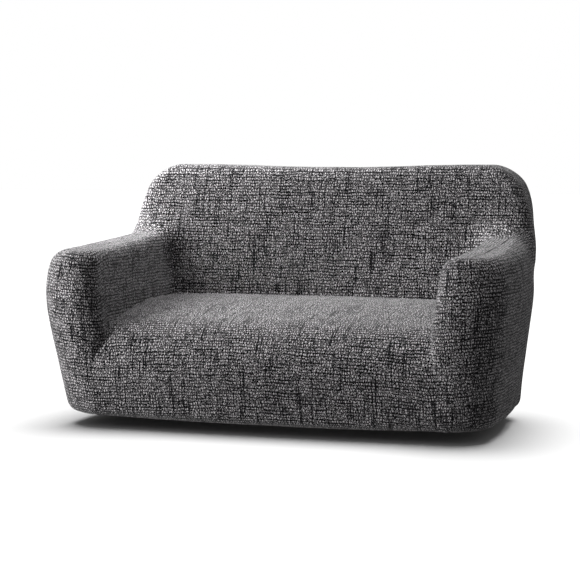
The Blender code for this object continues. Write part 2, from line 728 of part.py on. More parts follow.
def main():
    """Build the five panels."""
    for obj in list(bpy.data.objects):
        bpy.data.objects.remove(obj, do_unlink=True)
    collection = bpy.data.collections.new("Stretch_cover")
    bpy.context.scene.collection.children.link(collection)

    seat = part_seams(mirrored(seat_half()), CURVED_GAP, CURVED_GAP)
    sheet_from_grid("seat_panel", seat, cloth_material("seat_panel"), collection)
    inside = part_seams(mirrored(inside_back_half()), high=CURVED_GAP)
    sheet_from_grid("inside_back", inside, cloth_material("inside_back"), collection)
    outside = part_seams(mirrored(outside_back_half()), CURVED_GAP, CURVED_GAP, low=2 * CURVED_GAP)
    sheet_from_grid("outside_back", outside, cloth_material("outside_back"), collection)

    arm = arm_loop()
    ridge = arm[:, 0].copy()
    arm = part_seams(arm, SEAM_GAP, CURVED_GAP)
    arm[1:-1, 0] = ridge[1:-1]
    arm[-1, 0] = arm[0, 0]
    sheet_from_grid("arm_right", arm, cloth_material("arm_right"), collection, True)
    sheet_from_grid("arm_left", arm * [-1.0, 1.0, 1.0], cloth_material("arm_left"), collection, True)


if __name__ == "__main__":
    main()
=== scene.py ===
"""Looks of the stretch cover: five panels of nubby melange cloth, drawn tight and lit softly.

The cover is one outer surface, given as a signed distance (CoverForm).  Seams are lines on it
(Seams), each panel is a fine grid laid between its seams and settled on the surface (the Panel
classes), and the weave follows the rows of the cloth through each panel's own UV map in metres.
"""

import logging
import math
from dataclasses import dataclass, field
from enum import Enum
from typing import Callable, Optional, Sequence

import bmesh
import bpy
import numpy as np
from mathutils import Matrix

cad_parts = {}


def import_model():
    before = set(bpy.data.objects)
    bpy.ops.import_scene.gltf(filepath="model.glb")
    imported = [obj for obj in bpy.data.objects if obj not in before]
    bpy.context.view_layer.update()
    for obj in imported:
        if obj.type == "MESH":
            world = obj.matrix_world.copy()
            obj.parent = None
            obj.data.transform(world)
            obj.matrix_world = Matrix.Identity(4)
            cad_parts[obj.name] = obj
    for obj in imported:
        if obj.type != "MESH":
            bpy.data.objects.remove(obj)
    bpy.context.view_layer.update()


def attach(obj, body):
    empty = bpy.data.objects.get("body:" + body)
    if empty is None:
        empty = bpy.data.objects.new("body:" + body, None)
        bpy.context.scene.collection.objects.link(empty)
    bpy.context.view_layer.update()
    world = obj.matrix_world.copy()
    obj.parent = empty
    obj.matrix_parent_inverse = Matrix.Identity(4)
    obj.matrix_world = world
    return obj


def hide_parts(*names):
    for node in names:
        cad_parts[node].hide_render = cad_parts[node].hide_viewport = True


Array = np.ndarray
Condition = Callable[[Array], Array]

LOG = logging.getLogger("cover")

CLOTH = 0.002            # thickness of the cloth
SEAM_GAP = 0.0001        # space between two panels along a seam
FINE = 7                 # cells of the finished mesh for each step of a seam
SHARP = math.radians(55) # a turn past this is the cut edge of the cloth
MERGE = 0.00002          # points closer than this are one, where a panel is sewn shut

# the swell's crossed waves: how fast each turns along x, y and z, and where it starts, in radians
WAVES = ((19.0, 7.0, 31.0, 0.4), (-27.0, 22.0, 11.0, 1.9), (9.0, -33.0, 25.0, 3.1),
         (43.0, 17.0, -21.0, 5.0), (-14.0, 39.0, 37.0, 2.2))


# ---------------------------------------------------------------- soft sums of distances


def fillet_min(a: Array, b: Array, k: Array) -> Array:
    """Smaller of two distances, less a quarter of k where they are equal, fading by a parabola."""
    h = np.maximum(k - np.abs(a - b), 0.0) / k
    return np.minimum(a, b) - h * h * k * 0.25


def round_max(a: Array, b: Array, r: Array) -> Array:
    """Larger of two distances, with a quarter circle of radius r where they meet."""
    qa, qb = a + r, b + r
    return np.minimum(np.maximum(qa, qb), 0.0) + np.hypot(np.maximum(qa, 0), np.maximum(qb, 0)) - r


def soft_ramp(d: Array, s: float) -> Array:
    """Zero below d = 0 and d above it, joined by the log of a sum of exponentials."""
    return s * np.logaddexp(0.0, d / s)


def ease(t: Array) -> Array:
    """Smooth step 3t^2 - 2t^3 from 0 to 1."""
    t = np.clip(t, 0.0, 1.0)
    return t * t * (3.0 - 2.0 * t)


@dataclass(frozen=True)
class Crease:
    """A soft trough or ridge in the cloth: a bell across its line, fading to both ends.

    The depth at a point is depth * exp(-(b / width)^2) * exp(-(a / length)^4), with a measured
    along the line and b square to it.
    """

    at: tuple[float, float, float]
    along: tuple[float, float, float]
    length: float
    width: float
    depth: float

    def raise_by(self, p: Array) -> Array:
        """How far this crease lifts the cloth at the points p (negative in a trough)."""
        way = np.array(self.along) / np.linalg.norm(self.along)
        d = p - np.array(self.at)
        a = d @ way
        b2 = np.maximum(np.sum(d * d, axis=-1) - a * a, 0.0)
        return -self.depth * np.exp(-b2 / self.width**2 - (a / self.length)**4)


@dataclass(frozen=True)
class CoverForm:
    """The outer face of the cloth as a signed distance, from the cover's own sizes in metres."""

    hem: float = 0.050
    half_width: float = 0.745
    bulge_z: float = 0.370
    side_taper: float = 0.055
    shoulder_taper: float = 0.030
    side_bow: float = 0.038
    bow_y: float = -0.168
    front: float = -0.4527
    front_taper: float = 0.083
    front_bow: float = 0.016
    arm_front_lean: float = 0.034
    rear: float = 0.4094
    rear_lean: float = 0.148
    rear_curve: float = -0.108
    rise: float = 0.367
    hem_lift: float = 0.008
    front_corner_r: float = 0.115
    rear_corner_r: float = 0.200
    rear_top_r: float = 0.054
    hem_r: float = 0.034
    seat: float = 0.2635
    seat_crown: float = 0.005
    seat_rise: float = 0.084
    seat_swell: float = 0.135
    seat_edge_r: float = 0.140
    arm: float = 0.5205
    arm_rise: float = 0.0226
    arm_inner: float = 0.519
    arm_inner_lean: float = 0.119
    arm_top_r: float = 0.038
    arm_inner_r: float = 0.070
    back: float = 0.7855
    back_sag: float = 0.0094
    back_half: float = 0.683
    back_flare: float = 0.100
    back_side_curve: float = 1.127
    back_side_curve3: float = 1.485
    back_at: float = 0.1893
    back_lean: float = 0.156
    back_edge_r: float = 0.042
    back_corner_r: float = 0.069
    fillet_back: float = 0.092
    fillet_inside: float = 0.030
    fillet_seat: float = 0.008
    top_inset: float = 0.070
    notch: float = 0.205
    side_seam_depth: float = 0.030
    shoulder: float = 0.540
    creases: tuple[Crease, ...] = (
        # drawn in where the arms meet the inside back
        Crease((-0.528, 0.2050, 0.445), (0.02, -0.05, 1.0), 0.085, 0.008, 0.0040),
        Crease((0.528, 0.2050, 0.445), (-0.02, -0.05, 1.0), 0.085, 0.008, 0.0040),
        # full where the outer side of the right arm meets the back
        Crease((0.705, 0.250, 0.462), (0.0, 0.0, 1.0), 0.030, 0.045, -0.0030),
        # drawn in at the notches, and full on the arms' edges beside them
        Crease((-0.525, -0.378, 0.250), (-0.017, -0.069, -0.086), 0.050, 0.011, 0.0045),
        Crease((0.525, -0.378, 0.250), (0.017, -0.069, -0.086), 0.050, 0.011, 0.0050),
        Crease((0.538, -0.405, 0.285), (0.05, 0.0, 1.0), 0.060, 0.024, -0.0050),
        Crease((-0.540, -0.405, 0.275), (-0.05, 0.0, 1.0), 0.050, 0.026, -0.0030),
        # faint creases on the inside back and the front
        Crease((0.300, 0.190, 0.560), (0.25, 0.0, -1.0), 0.045, 0.010, 0.0012),
        Crease((-0.300, -0.445, 0.150), (0.35, 0.0, 1.0), 0.070, 0.014, 0.0010),
        Crease((0.410, -0.445, 0.170), (-0.25, 0.0, 1.0), 0.060, 0.012, 0.0010),
        # the seat's full corner
        Crease((-0.470, -0.360, 0.285), (1.0, 0.3, 0.0), 0.050, 0.035, -0.0035))
    swell: float = 0.0

    def side_x(self, y: Array, z: Array) -> Array:
        """Half width at depth y and height z: tapers below and above the bulge, bowed in plan."""
        low = soft_ramp(self.bulge_z - z, 0.03) / self.rise
        high = soft_ramp(z - self.bulge_z - 0.02, 0.03) / 0.15
        return self.half_width - self.side_taper * low - self.shoulder_taper * high**2 \
            - self.side_bow * ((y - self.bow_y) / 0.4)**2

    def front_y(self, x: Array, z: Array) -> Array:
        """Depth of the front face: leans in to the hem, bows out in the middle."""
        low = soft_ramp(self.bulge_z - z, 0.03) / self.rise
        lean = soft_ramp(z - self.seat - 0.03, 0.03) / 0.2
        return self.front + self.front_taper * low - self.front_bow * (1 - (x / 0.75)**2) \
            + self.arm_front_lean * lean**2

    def rear_y(self, z: Array) -> Array:
        """Depth of the rear face: a parabola in height."""
        return self.rear + self.rear_lean * (z - self.bulge_z) + self.rear_curve * (z - self.bulge_z)**2

    def hem_z(self, x: Array) -> Array:
        """Height of the bottom edge: a parabola, higher towards the corners."""
        return self.hem_lift * (x / 0.65)**2

    def seat_z(self, x: Array, y: Array) -> Array:
        """Height of the seat: rises and swells from front to back, crowned across."""
        t = np.clip((y - self.front) / (self.back_at - self.front), -0.2, 1.3)
        return self.seat + self.seat_crown * (1 - (x / self.arm_inner)**2) + self.seat_rise * t \
            + self.seat_swell * t * (1 - t)

    def arm_top_z(self, y: Array) -> Array:
        """Height of the arm top: a parabola that rises to the back."""
        t = (y - self.front) / 0.5
        return self.arm + self.arm_rise * t * np.abs(t)

    def arm_inner_x(self, z: Array) -> Array:
        """Inner face of the arm: a plane that leans outwards going up."""
        return self.arm_inner + self.arm_inner_lean * (z - self.seat)

    def back_side_x(self, z: Array) -> Array:
        """Side of the back: flares, then curves in to the top by a cubic."""
        h = np.maximum(z - self.arm, -0.1)
        up = np.maximum(h, 0.0)
        return self.back_half + self.back_flare * h - self.back_side_curve * up**2 \
            - self.back_side_curve3 * up**3

    def back_front_y(self, z: Array) -> Array:
        """Inside back: a plane that reclines."""
        return self.back_at + self.back_lean * (z - self.seat)

    def back_top_z(self, x: Array) -> Array:
        """Top of the back: level, with a sag of (1 - x^2)^2 in the middle."""
        return self.back - self.back_sag * np.where(x < 0.5, (1 - (x / 0.5)**2)**2, 0.0)

    def seat_form(self, p: Array) -> Array:
        """Distance to the seat block."""
        x, y, z = np.abs(p[..., 0]), p[..., 1], p[..., 2]
        plan = round_max(x - self.side_x(y, z), self.front_y(x, z) - y, self.front_corner_r)
        plan = np.maximum(plan, x - self.arm_inner_x(z) - 0.09)
        return round_max(plan, z - self.seat_z(x, y), self.seat_edge_r)

    def arm_form(self, p: Array) -> Array:
        """Distance to an arm."""
        x, y, z = np.abs(p[..., 0]), p[..., 1], p[..., 2]
        outer = round_max(x - self.side_x(y, z), self.front_y(x, z) - y, self.front_corner_r)
        inner = round_max(self.arm_inner_x(z) - x, self.front_y(x, z) - y, self.arm_inner_r)
        return round_max(np.maximum(outer, inner), z - self.arm_top_z(y), self.arm_top_r)

    def back_form(self, p: Array) -> Array:
        """Distance to the backrest."""
        x, y, z = np.abs(p[..., 0]), p[..., 1], p[..., 2]
        outline = round_max(x - self.back_side_x(z), z - self.back_top_z(x), self.back_corner_r)
        return round_max(outline, self.back_front_y(z) - y, self.back_edge_r)

    def away_from_back(self, p: Array) -> Array:
        """Unit vectors square to the outline of the backrest, in x and z."""
        def outline(x: Array, z: Array) -> Array:
            """Distance to the outline."""
            return round_max(x - self.back_side_x(z), z - self.back_top_z(x), self.back_corner_r)
        x, z, h = np.abs(p[..., 0]), p[..., 2], 1e-3
        way = np.stack([np.sign(p[..., 0]) * (outline(x + h, z) - outline(x - h, z)),
                        outline(x, z + h) - outline(x, z - h)], axis=-1)
        return way / np.maximum(np.linalg.norm(way, axis=-1, keepdims=True), 1e-9)

    def standing_form(self, p: Array) -> Array:
        """Distance to the whole form, before its bottom edge."""
        y, z = p[..., 1], p[..., 2]
        k = ease((z - self.arm + 0.10) / 0.10)
        k = self.fillet_inside + (self.fillet_back - self.fillet_inside) * k
        form = fillet_min(self.arm_form(p), self.back_form(p), k)
        form = fillet_min(form, self.seat_form(p), self.fillet_seat)
        r = self.rear_top_r + (self.rear_corner_r - self.rear_top_r) * ease((0.77 - z) / 0.35)
        return round_max(form, y - self.rear_y(z), r)

    def smooth(self, p: Array) -> Array:
        """Distance to the outer face of the cloth, drawn smooth."""
        return round_max(self.standing_form(p), self.hem_z(np.abs(p[..., 0])) - p[..., 2], self.hem_r)

    def uneven(self, p: Array) -> Array:
        """Distance to the outer face with its creases and a slight swell of crossed waves."""
        lift = sum((c.raise_by(p) for c in self.creases), np.zeros(p.shape[:-1]))
        for a, b, c, start in WAVES:
            lift += self.swell * np.sin(p @ np.array([a, b, c]) + start)
        return self.smooth(p) - lift

    def seat_meets_back(self, p: Array) -> Array:
        """Zero in the crease between seat and inside back."""
        return self.seat_form(p) - self.back_form(p)

    def seat_meets_arm(self, p: Array) -> Array:
        """Zero in the crease between seat and arm."""
        return self.seat_form(p) - self.arm_form(p)

    def arm_meets_back(self, p: Array) -> Array:
        """Zero in the crease between arm and inside back."""
        return self.arm_form(p) - self.back_form(p)

    def hem_edge(self, depth: float) -> Condition:
        """Condition that a point lies this far inside the outline."""
        return lambda p: self.standing_form(p) + depth

    def on_hem(self, p: Array) -> Array:
        """Zero in the level of the hem."""
        return p[..., 2] - self.hem_z(np.abs(p[..., 0]))


def slope(fn: Condition, p: Array, h: float = 2e-4) -> Array:
    """Gradient of a distance, by central differences."""
    steps = np.eye(3) * h
    return np.stack([fn(p + s) - fn(p - s) for s in steps], axis=-1) / (2 * h)


def settle(p: Array, conditions: Sequence[Condition], rounds: int = 14, reach: float = 0.02) -> Array:
    """Move points by the shortest way until every condition is zero there (Newton's method).

    Args:
        p: points as (..., 3).
        conditions: functions that are zero where the points belong.
        rounds: most steps taken.
        reach: longest step.

    Returns:
        The moved points.
    """
    p = np.array(p, dtype=float)
    for _ in range(rounds):
        f = np.stack([fn(p) for fn in conditions], axis=-1)
        j = np.stack([slope(fn, p) for fn in conditions], axis=-2)
        m = j @ np.swapaxes(j, -1, -2) + 1e-9 * np.eye(len(conditions))
        step = -(np.swapaxes(j, -1, -2) @ np.linalg.solve(m, f[..., None]))[..., 0]
        size = np.linalg.norm(step, axis=-1, keepdims=True)
        p += step * np.minimum(1.0, reach / np.maximum(size, 1e-12))
    return p


def run_along(path: Array) -> Array:
    """Length run to each corner of a path."""
    return np.concatenate([[0.0], np.cumsum(np.linalg.norm(np.diff(path, axis=0), axis=1))])


def at_shares(path: Array, share: Array) -> Array:
    """Points at the given shares, 0 to 1, of a path's length."""
    run = run_along(path)
    return np.stack([np.interp(run[-1] * share, run, path[:, k]) for k in range(path.shape[1])], axis=-1)


def along(points: Sequence, n: int) -> Array:
    """n + 1 points evenly spaced along a path given by its corners."""
    return at_shares(np.array(points, dtype=float), np.linspace(0, 1, n + 1))


def held(axis: int, value: Array) -> Condition:
    """Condition that a point keeps its x, y or z."""
    return lambda p: p[..., axis] - value


def finer(line: Array, k: int, axis: int = 0) -> Array:
    """Split every step of a line, or of a grid along one axis, in k by a cubic through the points.

    Tangents are half the sum of the two steps beside a point, held to twice the shorter one so
    that the cubic never turns back.

    Args:
        line: points as (n, ..., 3).
        k: cells for each step.
        axis: the axis to split.

    Returns:
        The finer line or grid.
    """
    p = np.moveaxis(line, axis, 0)
    d = np.diff(p, axis=0)
    size = np.linalg.norm(d, axis=-1, keepdims=True)
    m = np.empty_like(p)
    m[1:-1] = 0.5 * (d[1:] + d[:-1])
    m[0], m[-1] = d[0], d[-1]
    cap = np.concatenate([size[:1], np.minimum(size[1:], size[:-1]), size[-1:]]) * 2.0
    m *= np.minimum(1.0, cap / np.maximum(np.linalg.norm(m, axis=-1, keepdims=True), 1e-12))
    t = (np.arange(k) / k).reshape((1, k) + (1,) * (p.ndim - 1))
    h00, h10 = 2 * t**3 - 3 * t**2 + 1, t**3 - 2 * t**2 + t
    h01, h11 = -2 * t**3 + 3 * t**2, t**3 - t**2
    cells = h00 * p[:-1, None] + h10 * m[:-1, None] + h01 * p[1:, None] + h11 * m[1:, None]
    out = np.concatenate([cells.reshape((-1,) + p.shape[1:]), p[-1:]])
    return np.moveaxis(out, 0, axis)


def blend_edges(grid: Array, first: Array, last: Array, low: Array, high: Array) -> Array:
    """Shift a grid so that its four edges fall on the given lines (a Coons patch of the shifts)."""
    n, m = grid.shape[:2]
    u = np.linspace(0, 1, n)[:, None, None]
    v = np.linspace(0, 1, m)[None, :, None]
    d0, d1 = (first - grid[0])[None], (last - grid[-1])[None]
    e0, e1 = (low - grid[:, 0])[:, None], (high - grid[:, -1])[:, None]
    both = (1 - u) * ((1 - v) * d0[:, :1] + v * d0[:, -1:]) + u * ((1 - v) * d1[:, :1] + v * d1[:, -1:])
    return grid + (1 - u) * d0 + u * d1 + (1 - v) * e0 + v * e1 - both


# ---------------------------------------------------------------- seams
#
# The small lengths added to places here and in the panels only make first guesses, which settle()
# then moves on to the surface, and the shares only space the points out.


@dataclass(frozen=True)
class Steps:
    """How many steps each seam is laid out in; panels that share a seam share its steps."""

    across: int = 15
    seat: int = 12
    turn: int = 4
    apron: int = 6
    arm_front: int = 8
    side: int = 10
    ridge: int = 3
    thick: int = 6


@dataclass
class Seams:
    """The lines along which the five panels meet, on the +X half of the cover."""

    form: CoverForm
    steps: Steps = field(default_factory=Steps)

    def __post_init__(self) -> None:
        """Lay out every seam once."""
        self.corner = self._corner()
        self.notch = self._notch()
        self.side_point = self._side_point()
        self.back = self._back()
        self.seat = self._seat()
        self.apron = self._apron()
        self.arm_back = self._arm_back()
        self.shoulder = self._shoulder()
        self.top = self._top()
        self.side = self._side()

    def rolled_seat_z(self, x: Array, y: Array) -> Array:
        """Height of the seat, lowered by a parabola over its rolled front edge."""
        f = self.form
        edge = np.maximum(f.front + f.seat_edge_r - y, 0.0)
        return f.seat_z(x, y) - 0.9 * edge**2 / f.seat_edge_r

    def turned_under(self, top: Array, inward: Array, keep: Optional[Condition] = None) -> list[Array]:
        """Rows that roll the cloth from a line round the foot into the hem.

        Args:
            top: points on the upright face, at the start of the roll.
            inward: level unit vectors from there to the inside.
            keep: a condition that holds the rows in the plane of a seam.

        Returns:
            Four rows of points, from the roll to the edge of the hem.
        """
        f = self.form
        plane = () if keep is None else (keep,)
        base = np.stack([top[:, 0], top[:, 1], f.hem_z(np.abs(top[:, 0]))], axis=-1)
        rows = [settle(base, plane + (f.smooth,), reach=0.01)]
        for depth in f.hem_r, 0.85 * f.hem, f.hem:
            rows.append(settle(base + inward * depth, plane + (f.hem_edge(depth), f.on_hem)))
        return rows

    def inward_at(self, line: Array) -> Array:
        """Level unit vectors from points on the upright face to the inside."""
        inward = -slope(self.form.standing_form, line)
        inward[:, 2] = 0.0
        return inward / np.linalg.norm(inward, axis=1, keepdims=True)

    def _corner(self) -> Array:
        """Point where seat, arm and inside back meet."""
        f = self.form
        z = f.seat_z(0.53, f.back_at)
        guess = np.array([[f.arm_inner_x(z), f.back_front_y(z), z]])
        return settle(guess, (f.seat_meets_back, f.arm_meets_back, f.smooth))[0]

    def _notch(self) -> Array:
        """Point where the arm parts from the seat at the front."""
        f = self.form
        guess = np.array([[f.arm_inner, f.front_y(f.arm_inner, f.notch) + 0.03, f.notch]])
        return settle(guess, (f.seat_meets_arm, held(2, f.notch), f.smooth), rounds=30)[0]

    def _side_point(self) -> Array:
        """Point on the outer side, beside the back, where three panels meet."""
        f = self.form
        y = f.back_front_y(f.arm) + f.side_seam_depth
        guess = np.array([[f.back_half + 0.01, y, f.shoulder]])
        return settle(guess, (held(1, y), held(2, f.shoulder), f.smooth), rounds=30)[0]

    def _back(self) -> Array:
        """Seat to inside back, from the middle to the corner."""
        f = self.form
        x = np.linspace(0.0, self.corner[0], self.steps.across + 1)
        z = f.seat_z(x, f.back_at)
        line = np.stack([x, f.back_front_y(z), z], axis=-1)
        line = settle(line, (f.seat_meets_back, held(0, x), f.smooth))
        line[-1] = self.corner
        return line

    def _seat(self) -> Array:
        """Seat to arm, from the corner forward to the notch."""
        start, end = self.corner, self.notch
        y = np.linspace(start[1], end[1], 40)
        path = np.stack([np.linspace(start[0], end[0], 40), y, self.rolled_seat_z(0.5, y)], axis=-1)
        path[:, 2] += (end[2] - path[-1, 2]) * np.linspace(0, 1, 40)**6
        line = settle(along(path, self.steps.seat), (self.form.seat_meets_arm, self.form.smooth), 30, 0.01)
        line[0], line[-1] = start, end
        return line

    def _apron(self) -> Array:
        """From the notch straight down the front and under the hem."""
        f, top = self.form, self.notch
        z = np.linspace(top[2], f.hem_r + 0.002, self.steps.apron + 1)
        x = np.full_like(z, top[0])
        line = settle(np.stack([x, f.front_y(x, z), z], axis=-1), (held(0, x), held(2, z), f.smooth), 30)
        line[0] = top
        turn = self.turned_under(line[-1:], np.array([[0.0, 1.0, 0.0]]), held(0, top[0]))
        return np.concatenate([line, *turn])

    def _arm_back(self) -> Array:
        """Arm to inside back: up the crease, over the arm top, to its outer side."""
        f, n = self.form, self.steps
        y = f.back_front_y(f.arm)
        top = f.arm_top_z(y) + 0.02
        over = np.array([[0.635, y - 0.01, top]])
        over = settle(over, (f.arm_meets_back, held(0, over[:, 0]), f.smooth), 30)[0]
        knee = np.array([f.arm_inner_x(top) - 0.01, y, top - 0.03])
        inner = along([self.corner, knee, over], n.ridge + n.side + n.turn)
        inner = settle(inner, (f.arm_meets_back, f.smooth), 30, 0.008)
        bend = np.array([self.side_point[0] - 0.006, y + 0.012, over[2] - 0.004])
        outer = settle(along([over, bend, self.side_point], n.ridge), (f.smooth,), 30, 0.008)
        line = np.concatenate([inner, outer[1:]])
        line[0], line[-1] = self.corner, self.side_point
        return line

    def _shoulder(self) -> Array:
        """Round the back's side, from the side point level to the rear face."""
        f, start = self.form, self.side_point
        rear = f.rear_y(f.shoulder)
        path = [start, [start[0] - 0.01, rear - 0.01, f.shoulder],
                [f.back_half - f.top_inset, rear, f.shoulder]]
        line = settle(along(path, self.steps.thick), (held(2, f.shoulder), f.smooth), 30, 0.01)
        line[0] = start
        return line

    def _top(self) -> Array:
        """On the rear face below the top edge, from the middle round to its low end."""
        f, low = self.form, self.shoulder[-1]
        top = f.back - f.top_inset
        z = np.linspace(low[2], top - 0.05, 8)
        side = np.stack([f.back_side_x(z) - f.top_inset, z], axis=-1)
        side[0] = low[0], low[2]
        corner = side[-1] + [-0.016, 0.034]
        path = [[0.0, f.back_top_z(0.0) - f.top_inset], [0.45, top], [side[-1][0] - 0.055, top], corner]
        path = np.insert(np.concatenate([np.array(path), side[::-1]]), 1, 0.0, axis=1)
        line = self.across_back(path)
        line[:, 1] = f.rear_y(line[:, 2])
        line = settle(line, (held(0, line[:, 0].copy()), held(2, line[:, 2].copy()), f.smooth))
        line[-1] = low
        return line

    def across_back(self, path: Array) -> Array:
        """Points along an outline of the back, closer together at its corner."""
        share = np.array([0.00, 0.10, 0.20, 0.30, 0.39, 0.47, 0.54, 0.60, 0.645,
                          0.69, 0.735, 0.78, 0.83, 0.885, 0.94, 1.00])
        even = np.linspace(0, 1, self.steps.across + 1)
        return at_shares(path, np.interp(even, np.linspace(0, 1, len(share)), share))

    def _side(self) -> Array:
        """Down the outer side, from the side point to the hem and under it."""
        f, start = self.form, self.side_point
        foot = [f.side_x(start[1], f.hem_r), start[1], f.hem_r + f.hem_z(0.65) + 0.002]
        line = settle(along([start, foot], self.steps.side), (held(1, start[1]), f.smooth), 20)
        line[0] = start
        turn = self.turned_under(line[-1:], self.inward_at(line[-1:]))
        return np.concatenate([line, *turn])


# ---------------------------------------------------------------- panels


def cumulative(grid: Array, axis: int) -> Array:
    """Length run along one axis of a grid of points."""
    step = np.linalg.norm(np.diff(grid, axis=axis), axis=-1)
    zero = np.zeros_like(np.take(step, [0], axis=axis))
    return np.concatenate([zero, np.cumsum(step, axis=axis)], axis=axis)


def mirrored(half: Array) -> Array:
    """Whole grid of a panel from its +X half, whose first index starts in the middle."""
    flip = np.ones(half.shape[-1])
    flip[0] = -1.0
    return np.concatenate([half[:0:-1] * flip, half])


@dataclass
class ClothRows:
    """Where each point of the cloth lies on the cloth itself, in metres along and across its rows.

    On upright faces a row is level, so its place is its height, times the little that the face's
    lean adds; it droops towards the two notches of the front, where the cloth is drawn down.
    """

    form: CoverForm
    droop: float = 0.017
    droop_x: float = 0.52
    tilt: float = 0.070
    plan_z: float = 0.30
    arm_middle: float = 0.60
    notch_blend: float = 0.08
    front_length: float = 1.025
    back_length: float = 1.012
    rear_length: float = 1.02
    rear_start: float = 3.0

    def __post_init__(self) -> None:
        """Lay out the arm's and the rear's outlines in plan, which carry the along coordinate."""
        f, z = self.form, self.plan_z
        y = np.linspace(0.30, f.front + 0.09, 60)
        inner = np.stack([f.arm_inner_x(z) + 0 * y, y], axis=-1)
        outer = np.stack([f.side_x(y[::-1], z), y[::-1]], axis=-1)
        corner = [[f.arm_inner_x(z) + 0.022, f.front_y(0.55, z) + 0.020],
                  [0.590, f.front_y(0.59, z)], [0.625, f.front_y(0.62, z)],
                  [0.672, f.front_y(0.67, z) + 0.008], [0.712, f.front_y(0.7, z) + 0.040]]
        outline = np.concatenate([inner, np.array(corner), outer])
        self.arm_line = self._settled(outline)
        run = run_along(self.arm_line)
        behind = self.arm_line[:, 1] > f.front + 0.05
        front = int(np.argmin(np.abs(self.arm_line[:, 0] - self.arm_middle) + 10 * behind))
        self.arm_run = run - run[front] + self.arm_line[front, 0]
        x = np.linspace(0.0, 0.50, 20)
        turn = np.linspace(0.05, 1.0, 14)
        side_x = f.side_x(0.10, z)
        bend = np.stack([0.50 + (side_x - 0.50) * np.sin(turn * math.pi / 2),
                         0.10 + (f.rear_y(z) - 0.10) * np.cos(turn * math.pi / 2)], axis=-1)
        rear = np.concatenate([np.stack([x, f.rear_y(z) + 0 * x], axis=-1), bend])
        self.rear_line = self._settled(rear)
        self.rear_run = run_along(self.rear_line)

    def _settled(self, outline: Array) -> Array:
        """An outline in plan, settled on the form and evenly split."""
        p = np.insert(outline, 2, self.plan_z, axis=1)
        p = settle(p, (held(2, self.plan_z), self.form.smooth), 20, 0.01)
        return along(p[:, :2], 300)

    def nearest_run(self, p: Array, line: Array, run: Array) -> Array:
        """Length along an outline of the point nearest to each point of p in plan."""
        flat = p[..., :2].reshape(-1, 2)
        out = np.empty(len(flat))
        a, b = line[:-1], line[1:]
        way = b - a
        size2 = np.sum(way * way, axis=1)
        for part in np.array_split(np.arange(len(flat)), max(1, len(flat) // 8000)):
            q = flat[part][:, None] - a[None]
            t = np.clip(np.sum(q * way, axis=-1) / size2, 0.0, 1.0)
            d2 = np.sum((q - t[..., None] * way)**2, axis=-1)
            k = np.argmin(d2, axis=1)
            at = t[np.arange(len(part)), k]
            out[part] = run[k] * (1 - at) + run[k + 1] * at
        return out.reshape(p.shape[:-1])

    def round_inner_corner(self, p: Array) -> Array:
        """Length along a row that runs from the arm's front round its inner corner and backwards.

        The corner is a quarter circle of radius r about (c, front + r): the length is x on the
        front, c - r * angle on the arc, and c - r * pi / 2 less the way past it on the inner face.
        Below the notch there is no corner, and it is x.
        """
        f, r = self.form, self.form.arm_inner_r
        x, z = p[..., 0], p[..., 2]
        c = f.arm_inner_x(z) + r
        past = p[..., 1] - f.front_y(x, z)
        angle = np.arctan2(np.maximum(c - x, 0.0), np.maximum(r - past, 1e-6))
        turned = np.where(past < r, c - r * angle, c - r * math.pi / 2 - (past - r))
        share = ease((z - f.notch) / self.notch_blend)
        return np.where(x < c, turned * share + x * (1 - share), x)

    def front_droop(self, x: Array) -> Array:
        """How far a row on the front hangs below its height in the middle: a parabola to the
        notch, then a straight tilt back up across the arm front."""
        x = np.abs(x)
        inside = self.droop * (x / self.droop_x)**2
        outside = np.maximum(self.droop - self.tilt * (x - self.droop_x), 0.0)
        return np.where(x < self.droop_x, inside, outside)


